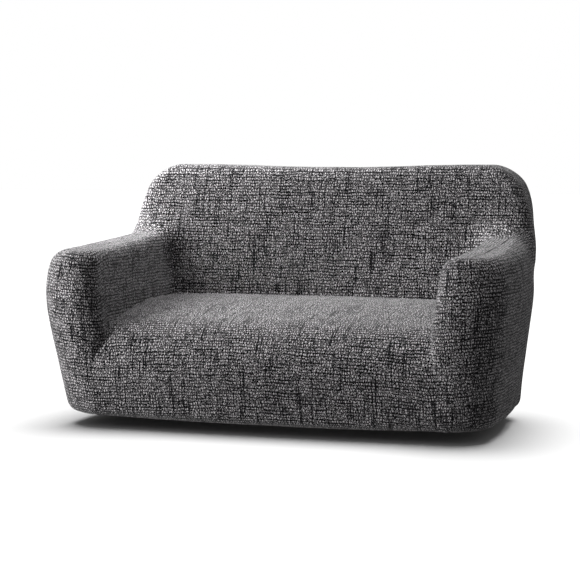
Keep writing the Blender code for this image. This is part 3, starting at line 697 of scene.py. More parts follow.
@dataclass
class Panel:
    """One sewn panel of cloth, from its coarse grid between seams to its finished object."""

    form: CoverForm
    seams: Seams
    rows: ClothRows
    name: str = "panel"
    flat: tuple[float, float] = (1.0, 1.0)

    def fine_line(self, line: Array) -> Array:
        """A seam at the finished mesh's spacing, on the uneven surface."""
        p = finer(line, FINE)
        hem = self.below_hem(p)
        out = settle(p, (self.form.uneven,), 8, 0.004)
        out[hem] = p[hem]
        return out

    def below_hem(self, p: Array) -> Array:
        """Whether each point lies on the flat of the hem, turned well under."""
        f = self.form
        return (f.standing_form(p) < -0.5 * f.hem_r) & (p[..., 2] < 0.02)

    def fine_grid(self, coarse: Array, first: Array, last: Array, low: Array, high: Array) -> Array:
        """The finished grid of points, from a coarse one and its four fine edges."""
        grid = finer(finer(coarse, FINE, 0), FINE, 1)
        grid = blend_edges(grid, first, last, low, high)
        inner = grid[1:-1, 1:-1].copy()
        hem = self.below_hem(inner)
        moved = settle(inner, (self.form.uneven,), 8, 0.004)
        moved[hem] = inner[hem]
        grid[1:-1, 1:-1] = moved
        return grid

    @staticmethod
    def part_seams(grid: Array, gap: float = SEAM_GAP) -> Array:
        """Draw the four edges in by half the gap, square to each seam."""
        out = grid.copy()
        for edge, inside in ((np.s_[0], np.s_[1]), (np.s_[-1], np.s_[-2]),
                             (np.s_[:, 0], np.s_[:, 1]), (np.s_[:, -1], np.s_[:, -2])):
            line = grid[edge]
            tangent = np.gradient(line, axis=0)
            tangent /= np.maximum(np.linalg.norm(tangent, axis=1, keepdims=True), 1e-9)
            inward = grid[inside] - line
            inward -= tangent * np.sum(inward * tangent, axis=1, keepdims=True)
            size = np.linalg.norm(inward, axis=1, keepdims=True)
            out[edge] += 0.5 * gap * np.where(size > 1e-6, inward / np.maximum(size, 1e-9), 0.0)
        return out

    def grid_normals(self, grid: Array) -> Array:
        """Unit normals of a grid, outwards, from the slope of the surface or of the hem's level."""
        normal = slope(self.form.uneven, grid, 1e-3)
        hem = self.below_hem(grid)
        normal[hem] = [0.0, 0.0, -1.0]
        return normal / np.maximum(np.linalg.norm(normal, axis=-1, keepdims=True), 1e-9)

    def build(self, grid: Array, uv: Array, material: bpy.types.Material) -> bpy.types.Object:
        """Make the sheet: an outer and an inner grid joined by a rim, with its UV map in metres.

        Args:
            grid: points on the outer face as (n, m, 3).
            uv: place of each point on the cloth as (n, m, 2).
            material: the finish.

        Returns:
            The new object, riding on the root body and standing for its CAD node.
        """
        n, m = grid.shape[:2]
        normal = self.grid_normals(grid)
        points = np.concatenate([grid.reshape(-1, 3), (grid - CLOTH * normal).reshape(-1, 3)])
        index = np.arange(n * m).reshape(n, m)
        quads = np.stack([index[:-1, :-1], index[1:, :-1], index[1:, 1:], index[:-1, 1:]], axis=-1)
        quads = quads.reshape(-1, 4)
        flat = points[quads]
        area_way = np.cross(flat[:, 2] - flat[:, 0], flat[:, 3] - flat[:, 1])
        turned = np.sum(area_way * normal.reshape(-1, 3)[quads[:, 0]]) < 0
        if turned:
            quads = quads[:, ::-1]
        ring = np.concatenate([index[:-1, 0], index[-1, :-1], index[:0:-1, -1], index[0, :0:-1]])
        after = np.roll(ring, -1)
        inner = n * m
        rim = np.stack([ring, after, after + inner, ring + inner], axis=-1)
        if not turned:
            rim = rim[:, ::-1]
        faces = np.concatenate([quads, quads[:, ::-1] + inner, rim])
        mesh = bpy.data.meshes.new(self.name)
        mesh.from_pydata(points, [], faces)
        layer = mesh.uv_layers.new(name="cloth")
        corner = np.empty(len(mesh.loops), dtype=np.int32)
        mesh.loops.foreach_get("vertex_index", corner)
        both = np.concatenate([uv.reshape(-1, 2)] * 2)
        layer.data.foreach_set("uv", both[corner].ravel().astype(np.float32))
        self.tidy(mesh)
        obj = bpy.data.objects.new(self.name + "_cloth", mesh)
        bpy.context.scene.collection.objects.link(obj)
        obj.data.materials.append(material)
        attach(obj, "root")
        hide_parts(self.name)
        return obj

    def on_cloth(self, grid: Array) -> Array:
        """Place of each point on the cloth in metres, as (n, m, 2); each panel has its own."""
        raise NotImplementedError

    def finish(self, grid: Array, material: bpy.types.Material) -> bpy.types.Object:
        """Lay the weave on a fine grid, part its seams and make it a sheet."""
        return self.build(self.part_seams(grid), self.on_cloth(grid), material)

    def tidy(self, mesh: bpy.types.Mesh) -> None:
        """Shade the sheet smooth but for its cut edge."""
        mesh.shade_smooth()
        mesh.set_sharp_from_angle(angle=SHARP)
        mesh.validate()


class SeatPanel(Panel):
    """Seat and front apron in one: first index across, second from the hem up and to the crease."""

    def coarse(self) -> Array:
        """The +X half, from the middle to the arm."""
        f, s, n = self.form, self.seams, self.seams.steps
        side = np.concatenate([s.apron[::-1], s.seat[::-1][1:]])
        n_front = n.apron + n.turn
        z = np.linspace(f.hem_r + 0.002, side[n_front, 2], n.apron + 1)
        face = np.stack([np.zeros_like(z), f.front_y(0.0, z), z], axis=-1)
        face = settle(face, (held(0, 0.0), held(2, z), f.smooth))
        turn = np.concatenate(s.turned_under(face[:1], np.array([[0.0, 1.0, 0.0]]), held(0, 0.0)))[::-1]
        y = side[n_front:, 1] + (s.back[0, 1] - side[-1, 1]) * np.linspace(0, 1, n.seat + 1)**2
        top = np.stack([np.zeros_like(y), y, s.rolled_seat_z(0.0, y)], axis=-1)
        top = settle(top, (held(0, 0.0), f.smooth), reach=0.01)
        middle = np.concatenate([turn, face, top[1:]])
        middle[:, 0] = 0.0
        middle[-1] = s.back[0]
        t = np.linspace(0, 1, n.across + 1)[:, None, None]
        grid = middle[None] * (1 - t) + side[None] * t
        low = self.hem_line(grid[:, 0, :2], middle[0], side[0])
        grid = blend_edges(grid, middle, side, low, s.back)
        grid[1:-1, 1:-1] = settle(grid[1:-1, 1:-1], (f.smooth,), reach=0.012)
        return grid

    def hem_line(self, plan: Array, start: Array, end: Array) -> Array:
        """Edge of the turned-under hem, through points near it in plan."""
        f = self.form
        guess = np.stack([plan[:, 0], plan[:, 1], f.hem_z(np.abs(plan[:, 0]))], axis=-1)
        line = settle(guess, (f.hem_edge(f.hem), f.on_hem), 25)
        line[0], line[-1] = start, end
        return line

    def on_cloth(self, grid: Array) -> Array:
        """Rows run across: heights on the apron, then the length run over the roll and the seat."""
        n = self.seams.steps
        run = cumulative(grid, 1)
        foot, knee = FINE * n.turn, FINE * (n.turn + n.apron)
        height = self.rows.front_length * grid[..., 2]
        v = run - run[:, knee:knee + 1] + height[:, knee:knee + 1]
        v[:, foot:knee] = height[:, foot:knee]
        v[:, :foot] = run[:, :foot] - run[:, foot:foot + 1] + v[:, foot:foot + 1]
        fade = np.interp(np.arange(grid.shape[1]), [knee, knee + 3 * FINE], [1.0, 0.0])
        v += self.rows.front_droop(grid[..., 0]) * fade
        return np.stack([grid[..., 0], v], axis=-1)

    def make(self, material: bpy.types.Material) -> bpy.types.Object:
        """Build the panel."""
        s = self.seams
        coarse = mirrored(self.coarse())
        edges = [self.fine_line(mirrored(s.back)) if k else finer(coarse[:, 0], FINE) for k in (0, 1)]
        side = self.fine_line(np.concatenate([s.apron[::-1], s.seat[::-1][1:]]))
        grid = self.fine_grid(coarse, side * [-1.0, 1.0, 1.0], side, edges[0], edges[1])
        return self.finish(grid, material)


class InsideBack(Panel):
    """Inside back: first index across, second from the crease up and over to the rear seam."""

    def coarse(self) -> Array:
        """The +X half, from the middle to the arm."""
        f, s, n = self.form, self.seams, self.seams.steps
        n_face = len(s.arm_back) - 1
        z = np.linspace(s.arm_back[-1, 2], f.back - 0.03, 8)
        rim = np.stack([f.back_side_x(z) - 0.012, z], axis=-1)
        rim[0] = s.arm_back[-1, [0, 2]]
        path = [[0.0, f.back_top_z(0.0) - 0.004], [0.45, f.back - 0.004],
                [rim[-1, 0] - 0.045, f.back - 0.004]]
        path = np.concatenate([np.array(path), [[rim[-1, 0] - 0.014, f.back - 0.014]], rim[::-1]])
        rim = s.across_back(np.insert(path, 1, 0.0, axis=1))
        rim[:, 1] = f.back_front_y(rim[:, 2]) + 0.012
        rim[:-1] = settle(rim[:-1], (f.smooth,), reach=0.01)
        rim[-1] = s.arm_back[-1]
        bend = [0.0, f.back_front_y(rim[0, 2] - 0.05), rim[0, 2] - 0.05]
        middle = settle(along([s.back[0], bend, rim[0]], n_face), (held(0, 0.0), f.smooth), reach=0.01)
        middle[0] = s.back[0]
        face = blend_edges(np.zeros((n.across + 1, n_face + 1, 3)), middle, s.arm_back, s.back, rim)
        face[..., 1] = np.maximum(face[..., 1], f.back_front_y(face[..., 2]))
        far = np.stack([rim[:, 0], f.rear_y(rim[:, 2]) - 0.012, rim[:, 2]], axis=-1)
        over = np.stack([along([a, b, c], n.thick) for a, b, c in zip(rim, far, s.top)])
        over[-1] = s.shoulder
        grid = np.concatenate([face, over[:, 1:]], axis=1)
        grid[0, :, 0] = 0.0
        grid[0, 1:-1] = settle(grid[0, 1:-1], (held(0, 0.0), f.smooth), reach=0.01)
        grid[:, -1], grid[:, 0] = s.top, s.back
        grid[-1] = np.concatenate([s.arm_back, s.shoulder[1:]])
        grid[1:-1, 1:-1] = settle(grid[1:-1, 1:-1], (f.smooth,), reach=0.012)
        return grid

    def on_cloth(self, grid: Array) -> Array:
        """Rows are level on the face; past its rim the cloth runs on square to the rim."""
        rim = FINE * (len(self.seams.arm_back) - 1)
        uv = np.stack([grid[..., 0], self.rows.back_length * grid[..., 2]], axis=-1)
        out = self.form.away_from_back(grid[:, rim])
        run = cumulative(grid[:, rim:], 1)
        uv[:, rim:] = uv[:, rim:rim + 1] + run[..., None] * out[:, None]
        return uv

    def make(self, material: bpy.types.Material) -> bpy.types.Object:
        """Build the panel."""
        s = self.seams
        coarse = mirrored(self.coarse())
        side = np.concatenate([self.fine_line(s.arm_back), self.fine_line(s.shoulder)[1:]])
        low, high = self.fine_line(mirrored(s.back)), self.fine_line(mirrored(s.top))
        grid = self.fine_grid(coarse, side * [-1.0, 1.0, 1.0], side, low, high)
        return self.finish(grid, material)


class OutsideBack(Panel):
    """Outside back: first index across, second from the rear seam down to the hem."""

    def coarse(self) -> Array:
        """The +X half, from the middle to the side seam."""
        f, s, n = self.form, self.seams, self.seams.steps
        top = np.concatenate([s.top, s.shoulder[::-1][1:]])
        n_face, z0 = n.side, f.hem_r + 0.004
        middle = np.zeros((n_face + 1, 3))
        middle[:, 2] = np.linspace(top[0, 2], z0, n_face + 1)
        middle[:, 1] = f.rear_y(middle[:, 2])
        middle = settle(middle, (held(0, 0.0), held(2, middle[:, 2].copy()), f.smooth))
        middle[0] = top[0]
        turn = s.turned_under(middle[-1:], np.array([[0.0, -1.0, 0.0]]), held(0, 0.0))
        middle = np.concatenate([middle, *turn])
        middle[:, 0] = 0.0
        foot = np.array([[0.0, middle[n_face, 1]], [0.60, middle[n_face, 1]],
                         [s.side[n_face, 0], 0.29], s.side[n_face, :2]])
        share = np.linspace(0.62, 1.0, n.thick + 1)[1:]
        foot = at_shares(foot, np.concatenate([np.linspace(0.0, 0.62, n.across + 1), share]))
        low = np.stack([foot[:, 0], foot[:, 1], z0 + f.hem_z(foot[:, 0])], axis=-1)
        low = settle(low, (held(2, low[:, 2].copy()), f.smooth), 30)
        low[0], low[-1] = middle[n_face], s.side[n_face]
        face = np.zeros((len(top), n_face + 1, 3))
        face = blend_edges(face, middle[:n_face + 1], s.side[:n_face + 1], top, low)
        face[1:-1, 1:-1] = settle(face[1:-1, 1:-1], (f.smooth,), 20)
        grid = np.concatenate([face, np.stack(s.turned_under(low, s.inward_at(low)), axis=1)], axis=1)
        grid[0], grid[-1] = middle, s.side
        grid[:, 0] = top
        return grid

    def on_cloth(self, grid: Array) -> Array:
        """Rows are level; their length is that of the outline in plan."""
        r = self.rows
        size = r.nearest_run(np.abs(grid), r.rear_line, r.rear_run)
        foot = FINE * self.seams.steps.side
        v = r.rear_length * grid[..., 2]
        run = cumulative(grid, 1)
        v[:, foot:] = v[:, foot:foot + 1] - (run[:, foot:] - run[:, foot:foot + 1])
        return np.stack([np.sign(grid[..., 0]) * size + r.rear_start, v], axis=-1)

    def make(self, material: bpy.types.Material) -> bpy.types.Object:
        """Build the panel."""
        s = self.seams
        coarse = mirrored(self.coarse())
        top = np.concatenate([self.fine_line(s.top), self.fine_line(s.shoulder)[::-1][1:]])
        side = self.fine_line(s.side)
        low = finer(coarse[:, -1], FINE)
        grid = self.fine_grid(coarse, side * [-1.0, 1.0, 1.0], side, mirrored(top), low)
        return self.finish(grid, material)


class Hand(Enum):
    """Which arm."""

    RIGHT = 1.0
    LEFT = -1.0


@dataclass
class ArmPanel(Panel):
    """Arm: first index along its foot from the crease to the side seam, second from ridge to foot."""

    hand: Hand = Hand.RIGHT

    def ridge(self) -> Array:
        """Line along the middle of the arm top, from the inside back to the front."""
        f, s, n = self.form, self.seams, self.seams.steps
        rear = s.arm_back[n.ridge + n.side + n.turn]
        y = np.linspace(rear[1], f.front + 0.105, n.seat + 1)
        x = 0.5 * (f.arm_inner_x(f.arm_top_z(y)) + f.side_x(y, f.arm_top_z(y)))
        x += (rear[0] - x[0]) * np.linspace(1, 0, n.seat + 1)**2
        line = settle(np.stack([x, y, f.arm_top_z(y)], axis=-1), (held(0, x), held(1, y), f.smooth))
        line[0] = rear
        return line

    def coarse(self) -> Array:
        """The right arm's coarse grid."""
        f, s, n = self.form, self.seams, self.seams.steps
        ridge = self.ridge()
        n_down = n.side + n.turn
        inner_edge = s.arm_back[:n.ridge + n_down + 1][::-1]
        outer_edge = np.concatenate([s.arm_back[n.ridge + n_down:], s.side[1:]])
        n_front = n.apron + n.turn + n.arm_front
        starts = np.concatenate([ridge, np.repeat(ridge[-1:], n_front, axis=0), ridge[::-1][1:]])
        top_z = f.arm_top_z(f.front)
        y = ridge[:, 1] + (f.front + 0.06 - ridge[-1, 1]) * np.linspace(0, 1, n.seat + 1)
        inner = np.stack([f.arm_inner_x(f.arm_top_z(y)) + 0.008, y, f.arm_top_z(y) - 0.008], axis=-1)
        outer = np.stack([f.side_x(y, f.arm) - 0.008, y, f.arm_top_z(y) - 0.008], axis=-1)
        corner_in = [inner[-1, 0] + 0.02, f.front_y(0.6, f.arm) + 0.015, top_z - 0.01]
        corner_out = [outer[-1, 0] - 0.045, f.front_y(0.7, f.arm) + 0.022, top_z - 0.01]
        front = along([inner[-1], corner_in, corner_out, outer[-1]], n_front)
        edge = settle(np.concatenate([inner, front[1:], outer[::-1][1:]]), (f.smooth,), reach=0.01)
        # the foot of every column, from the apron seam round the front corner to the side seam
        z0, start, side_foot = f.hem_r + 0.002, s.apron[n.apron], s.side[n.side]
        x_corner, y_corner = f.side_x(f.front, 0.04), f.front_y(0.6, 0.04)
        first = start + [0.012 * n.turn, 0.0, 0.0]
        front_foot = along([first, [x_corner - 0.045, y_corner + 0.012, z0],
                            [x_corner - 0.012, y_corner + 0.05, z0]], n.arm_front)
        side_run = along([front_foot[-1], [f.side_x(0.0, 0.04), 0.0, z0], side_foot], n.seat)
        level = np.concatenate([front_foot, side_run[1:]])
        level[:, 2] = z0 + f.hem_z(level[:, 0]) * np.linspace(0, 1, len(level))**0.5
        level = settle(level, (held(2, level[:, 2].copy()), f.smooth), 30)
        level[-1] = side_foot
        turn = np.stack(s.turned_under(level, s.inward_at(level)), axis=1)
        feet = np.concatenate([s.seat, s.apron[1:]])
        columns = []
        for k in range(n.seat + n.apron + 1):
            late = np.interp(np.arange(n_down + 1), [0, n.side, n_down], [0.0, 0.90, 1.0])
            share = max(0.0, (k - n.seat) / n.apron)
            t = (1 - share) * np.linspace(0, 1, n_down + 1) + share * late
            down = edge[k] + (feet[k] - edge[k]) * t[:, None]
            columns.append(np.concatenate([along([starts[k], edge[k]], n.ridge), down[1:]]))
        # those beside the seam's roll into the hem, side by side at the foot
        roll = s.apron[n.apron:]
        for m in range(1, n.turn + 1):
            j = n.seat + n.apron + m
            away = np.array([0.012 * m, 0.0, 0.0])
            down = along([edge[j], start + away], n.side)
            t = np.linspace(0, 1, n.turn + 1)[1:]
            under = [np.interp(m * t, np.arange(n.turn + 1), roll[:, i]) for i in range(3)]
            under = np.stack(under, axis=-1) + away * (1 - t[:, None])
            columns.append(np.concatenate([along([starts[j], edge[j]], n.ridge), down[1:], under]))
        # and the rest, across the arm front and along the outer side
        n_inner = n.seat + n.apron + n.turn
        for k in range(1, len(level)):
            j = n_inner + k
            down = along([edge[j], level[k]], n.side)
            columns.append(np.concatenate([along([starts[j], edge[j]], n.ridge), down[1:], turn[k]]))
        grid = np.stack(columns)
        fade = np.linspace(1, 0, 6)[:, None, None]**1.5
        grid[:6] += fade * (inner_edge - grid[0])
        grid[-6:] += fade[::-1] * (outer_edge - grid[-1])
        low = np.concatenate([feet, turn[1:, -1]])
        low[-1] = outer_edge[-1]
        grid[:, 0], grid[:, -1] = starts, low
        grid[0], grid[-1] = inner_edge, outer_edge
        hem = grid[n_inner + 1:-1, n.ridge + n.side + 1:].copy()
        grid[1:-1, 1:-1] = settle(grid[1:-1, 1:-1], (f.smooth,), 20, 0.012)
        grid[n_inner + 1:-1, n.ridge + n.side + 1:] = hem
        return grid

    def on_cloth(self, grid: Array) -> Array:
        """Rows are level round the arm; on its top they follow its edge up to the ridge."""
        n, r = self.seams.steps, self.rows
        top, foot = FINE * n.ridge, FINE * (n.ridge + n.side)
        outer = r.nearest_run(grid, r.arm_line, r.arm_run)
        u = np.where(grid[..., 0] < r.arm_middle, r.round_inner_corner(grid), outer)
        u[:, :top] = u[:, top:top + 1]
        v = r.front_length * grid[..., 2]
        run = cumulative(grid, 1)
        v[:, :top] = v[:, top:top + 1] + run[:, top:top + 1] - run[:, :top]
        last = FINE * (n.seat + n.apron)
        v[last:, foot:] = v[last:, foot:foot + 1] - (run[last:, foot:] - run[last:, foot:foot + 1])
        on_front = ease((self.form.front_y(grid[..., 0], grid[..., 2]) + 0.12 - grid[..., 1]) / 0.08)
        v += r.front_droop(grid[..., 0]) * on_front
        return np.stack([u, v], axis=-1)

    def make(self, material: bpy.types.Material) -> bpy.types.Object:
        """Build the panel; the two sides of its ridge are sewn shut."""
        s, n = self.seams, self.seams.steps
        coarse = self.coarse()
        over = self.fine_line(s.arm_back)
        split = FINE * (n.ridge + n.side + n.turn)
        first = over[:split + 1][::-1]
        last = np.concatenate([over[split:], self.fine_line(s.side)[1:]])
        apron = self.fine_line(np.concatenate([s.apron[::-1], s.seat[::-1][1:]]))[::-1]
        ridge = self.fine_line(self.ridge())
        front = FINE * (n.apron + n.turn + n.arm_front)
        starts = np.concatenate([ridge, np.repeat(ridge[-1:], front, axis=0), ridge[::-1][1:]])
        hem = finer(coarse[:, -1], FINE)
        hem[:len(apron)] = apron
        hem[-1] = last[-1]
        grid = self.fine_grid(coarse, first, last, starts, hem)
        parted = self.part_seams(grid)
        parted[:, 0] = grid[:, 0]
        side = self.hand.value
        return self.build(parted * [side, 1.0, 1.0], self.on_cloth(grid) * [side, 1.0], material)

    def tidy(self, mesh: bpy.types.Mesh) -> None:
        """Sew the ridge shut, then shade the sheet smooth but for its cut edge."""
        bm = bmesh.new()
        bm.from_mesh(mesh)
        bmesh.ops.remove_doubles(bm, verts=bm.verts, dist=MERGE)
        bmesh.ops.dissolve_degenerate(bm, dist=0.5 * MERGE, edges=bm.edges)
        bm.to_mesh(mesh)
        bm.free()
        super().tidy(mesh)


# ---------------------------------------------------------------- finish


def linear(hex_colour: str) -> tuple[float, float, float, float]:
    """sRGB hex to linear colour with alpha 1."""
    parts = [int(hex_colour[k:k + 2], 16) / 255 for k in (1, 3, 5)]
    r, g, b = (c / 12.92 if c <= 0.04045 else ((c + 0.055) / 1.055)**2.4 for c in parts)
    return r, g, b, 1.0


def add_node(tree: bpy.types.NodeTree, kind: str, settings: Optional[dict] = None,
             links: Optional[dict] = None) -> bpy.types.Node:
    """Add a node with its settings and links.

    Args:
        tree: the material's node tree.
        kind: the node's type name.
        settings: properties by name.
        links: for each input, by number or name, the output socket or the number it takes.

    Returns:
        The new node.
    """
    node = tree.nodes.new(kind)
    for key, value in (settings or {}).items():
        setattr(node, key, value)
    for key, value in (links or {}).items():
        if isinstance(value, bpy.types.NodeSocket):
            tree.links.new(value, node.inputs[key])
        else:
            node.inputs[key].default_value = value
    return node


@dataclass(frozen=True)
class MelangeCloth:
    """Stretch jacquard woven from black, grey and white slub yarns, nubby and a little hairy.

    Its rows sway a little.  A row is a low ridge of fine fibres with a nub in each stitch, a dome
    less wide than the stitch whose place and brightness are drawn by chance.  Short dark dashes
    run in the valleys between rows, thin dark slubs cross them in the cloth's repeat, and broad
    patches are lighter or darker.  That sum picks a colour from black through grey to white.
    Matt wool-like yarns throw no gleam, only a faint sheen from their hairs.  Sizes are in metres
    on the cloth; fibre and nub are drawn coarser than the real yarn, so that they show.
    """

    row: float = 0.0098
    nub: float = 0.0081
    fibre: float = 0.0030
    sway: float = 0.060
    lag: float = 0.030
    repeat: float = 0.41
    columns: float = 125.0
    dash: float = 0.120
    slub: float = 0.150
    patch: float = 0.060
    nub_narrow: float = 17.0
    nub_low: float = 7.0
    valley: float = 1.35
    fibre_light: float = 2.1
    nub_light: float = 3.3
    darken: float = 0.66
    dash_dark: float = 0.95
    slub_dark: float = 0.75
    relief: float = 0.0025
    sheen: float = 0.16
    black: str = "#050506"
    grey: str = "#434144"
    white: str = "#b4b1b3"

    def formula(self) -> tuple:
        """The pattern, one node to a row: its result's name, kind, setting and inputs in order.

        A name stands for the last result of that name, and one with a number after its dot for
        that output of it.
        """
        u, v, fibre = "cloth.0", "cloth.1", self.fibre
        return (
            ("cloth", "SeparateXYZ", None, "place"),
            # rows, swaying a little: which row, and how far across it
            ("at", "VectorMath", "DIVIDE", "place", (self.sway, self.sway, 1.0)),
            ("sway", "TexNoise", "2D", "at", 0.0, 1.0, 1.0),
            ("row", "Math", "DIVIDE", v, self.row),
            ("row", "Math", "MULTIPLY_ADD", "sway", 0.8, "row"),
            ("index", "Math", "FLOOR", "row"),
            ("across", "Math", "FRACT", "row"),
            ("across", "Math", "SUBTRACT", "across", 0.5),
            # stitches, of uneven width, and three chances for each
            ("at_u", "Math", "DIVIDE", u, self.lag),
            ("at_v", "Math", "MULTIPLY", "index", 9.13),
            ("at", "CombineXYZ", None, "at_u", "at_v"),
            ("lag", "TexNoise", "2D", "at", 0.0, 1.0, 1.0),
            ("lag", "Math", "MULTIPLY", "lag", 1.8),
            ("shift", "Math", "MULTIPLY_ADD", "index", 0.37, "lag"),
            ("stitch", "Math", "DIVIDE", u, self.nub),
            ("stitch", "Math", "ADD", "stitch", "shift"),
            ("cell", "Math", "FLOOR", "stitch"),
            ("cell", "CombineXYZ", None, "cell", "index"),
            ("chance", "TexWhiteNoise", "2D", "cell"),
            ("luck", "SeparateXYZ", None, "chance.1"),
            # the nub, a dome beside the stitch's end and above or below the row's middle
            ("beside", "Math", "FRACT", "stitch"),
            ("beside", "Math", "SUBTRACT", "beside", 0.70),
            ("beside", "Math", "MULTIPLY_ADD", "luck.0", 0.40, "beside"),
            ("above", "Math", "SUBTRACT", "across", 0.22),
            ("above", "Math", "MULTIPLY_ADD", "luck.2", 0.44, "above"),
            ("beside", "Math", "MULTIPLY", "beside", "beside"),
            ("above", "Math", "MULTIPLY", "above", "above"),
            ("bead", "Math", "MULTIPLY", "beside", -self.nub_narrow),
            ("bead", "Math", "MULTIPLY_ADD", "above", -self.nub_low, "bead"),
            ("bead", "Math", "ADD", "bead", 1.0),
            ("bead", "Math", "MAXIMUM", "bead", 0.0),
            ("bright", "Math", "MULTIPLY_ADD", "luck.1", 0.9, 0.1),
            ("bead", "Math", "MULTIPLY", "bead", "bright"),
            # fibres, on the ridge of the row
            ("at", "VectorMath", "DIVIDE", "place", (0.7 * fibre, fibre, 1.0)),
            ("fuzz", "TexNoise", "2D", "at", 0.0, 1.0, 0.0),
            ("fuzz", "MapRange", None, "fuzz", 0.38, 0.62),
            ("at", "VectorMath", "DIVIDE", "place", (0.5 * fibre, 1.1 * fibre, 1.0)),
            ("hair", "TexNoise", "2D", "at", 0.0, 1.0, 0.0),
            ("hair", "MapRange", None, "hair", 0.38, 0.62),
            ("spark", "Math", "MULTIPLY", "fuzz", "hair"),
            ("ridge", "Math", "MULTIPLY", "across", "across"),
            ("ridge", "Math", "MULTIPLY_ADD", "ridge", -self.valley, 1.0),
            # dark dashes along the upper side of a row
            ("at_u", "Math", "DIVIDE", u, self.dash),
            ("at_v", "Math", "MULTIPLY", "index", 3.71),
            ("at", "CombineXYZ", None, "at_u", "at_v"),
            ("dash", "TexNoise", "2D", "at", 0.0, 1.0, 1.0),
            ("dash", "MapRange", None, "dash", 0.55, 0.60),
            ("upper", "MapRange", None, "across", 0.10, 0.30),
            ("dash", "Math", "MULTIPLY", "dash", "upper"),
            # dark slubs across the rows, in columns that come again at the repeat
            ("at_u", "Math", "DIVIDE", u, self.repeat),
            ("at_u", "Math", "FRACT", "at_u"),
            ("at_u", "Math", "MULTIPLY", "at_u", self.columns),
            ("at_u", "Math", "FLOOR", "at_u"),
            ("at_u", "Math", "MULTIPLY", "at_u", 7.93),
            ("at_v", "Math", "DIVIDE", v, self.slub),
            ("at", "CombineXYZ", None, "at_u", "at_v"),
            ("slub", "TexNoise", "2D", "at", 0.0, 1.0, 0.0),
            ("slub", "MapRange", None, "slub", 0.69, 0.74),
            # broad patches
            ("at", "VectorMath", "DIVIDE", "place", (self.patch, 0.7 * self.patch, 1.0)),
            ("patch", "TexNoise", "2D", "at", 0.0, 1.0, 1.0),
            ("patch", "Math", "MULTIPLY_ADD", "patch", 0.5, 0.75),
            # how light the yarn is, and how high it stands
            ("tone", "Math", "MULTIPLY", "spark", "ridge"),
            ("nubs", "Math", "MULTIPLY", "bead", self.nub_light),
            ("tone", "Math", "MULTIPLY_ADD", "tone", self.fibre_light, "nubs"),
            ("tone", "Math", "MULTIPLY", "tone", "patch"),
            ("tone", "Math", "SUBTRACT", "tone", self.darken),
            ("dash", "Math", "MULTIPLY", "dash", self.dash_dark),
            ("dash", "Math", "SUBTRACT", 1.0, "dash"),
            ("tone", "Math", "MULTIPLY", "tone", "dash"),
            ("slub", "Math", "MULTIPLY", "slub", self.slub_dark),
            ("slub", "Math", "SUBTRACT", 1.0, "slub"),
            ("tone", "Math", "MULTIPLY", "tone", "slub"),
            ("height", "Math", "MULTIPLY_ADD", "spark", 0.4, "bead"))

    def make(self, name: str) -> bpy.types.Material:
        """Build the material."""
        material = bpy.data.materials.new(name)
        material.use_nodes = True
        tree = material.node_tree
        tree.nodes.clear()
        made = {"place": add_node(tree, "ShaderNodeUVMap", {"uv_map": "cloth"})}

        def result(value: object) -> object:
            """The socket that a name stands for; a number or a vector stands for itself."""
            if not isinstance(value, str):
                return value
            node, _, output = value.partition(".")
            return made[node].outputs[int(output or 0)]

        setting_name = {"Math": "operation", "VectorMath": "operation",
                        "TexNoise": "noise_dimensions", "TexWhiteNoise": "noise_dimensions"}
        for name_made, kind, setting, *values in self.formula():
            settings = {setting_name[kind]: setting} if setting else {}
            links = {k: result(value) for k, value in enumerate(values)}
            made[name_made] = add_node(tree, "ShaderNode" + kind, settings, links)
        yarns = add_node(tree, "ShaderNodeValToRGB", links={0: result("tone")})
        yarns.color_ramp.elements[0].color = linear(self.black)
        yarns.color_ramp.elements[1].color = linear(self.white)
        middle = yarns.color_ramp.elements.new(0.42)
        middle.color = linear(self.grey)
        bump = add_node(tree, "ShaderNodeBump", links={
            "Strength": 0.25, "Distance": self.relief, "Height": result("height")})
        shader = add_node(tree, "ShaderNodeBsdfPrincipled", links={
            "Base Color": yarns.outputs[0], "Roughness": 0.95, "Normal": bump.outputs[0],
            "Specular IOR Level": 0.0, "Sheen Weight": self.sheen, "Sheen Roughness": 0.45})
        out = add_node(tree, "ShaderNodeOutputMaterial")
        tree.links.new(shader.outputs[0], out.inputs[0])
        return material


# ---------------------------------------------------------------- studio


@dataclass(frozen=True)
class SoftSun:
    """A broad even light from far off, in watts per square metre."""

    azimuth: float
    elevation: float
    strength: float
    spread: float = 40.0

    def add(self, name: str) -> bpy.types.Object:
        """Put the light in the scene; azimuth 0 is in front of the cover and 90 on its right."""
        data = bpy.data.lights.new(name, "SUN")
        data.energy = self.strength
        data.angle = math.radians(self.spread)
        lamp = bpy.data.objects.new(name, data)
        lamp.rotation_euler = (math.radians(90.0 - self.elevation), 0.0, math.radians(self.azimuth))
        bpy.context.scene.collection.objects.link(lamp)
        return lamp


@dataclass(frozen=True)
class SoftBox:
    """A round soft box near the cover, turned to its middle, in watts."""

    at: tuple[float, float, float]
    power: float
    size: float = 0.8
    aim: tuple[float, float, float] = (-0.2, 0.0, 0.4)

    def add(self, name: str) -> bpy.types.Object:
        """Put the light in the scene, out of the camera's sight."""
        data = bpy.data.lights.new(name, "AREA")
        data.energy = self.power
        data.shape = "DISK"
        data.size = self.size
        lamp = bpy.data.objects.new(name, data)
        lamp.location = self.at
        way = np.array(self.at) - np.array(self.aim)
        tilt = math.atan2(math.hypot(way[0], way[1]), way[2])
        lamp.rotation_euler = (tilt, 0.0, math.atan2(way[0], -way[1]))
        lamp.visible_camera = False
        bpy.context.scene.collection.objects.link(lamp)
        return lamp


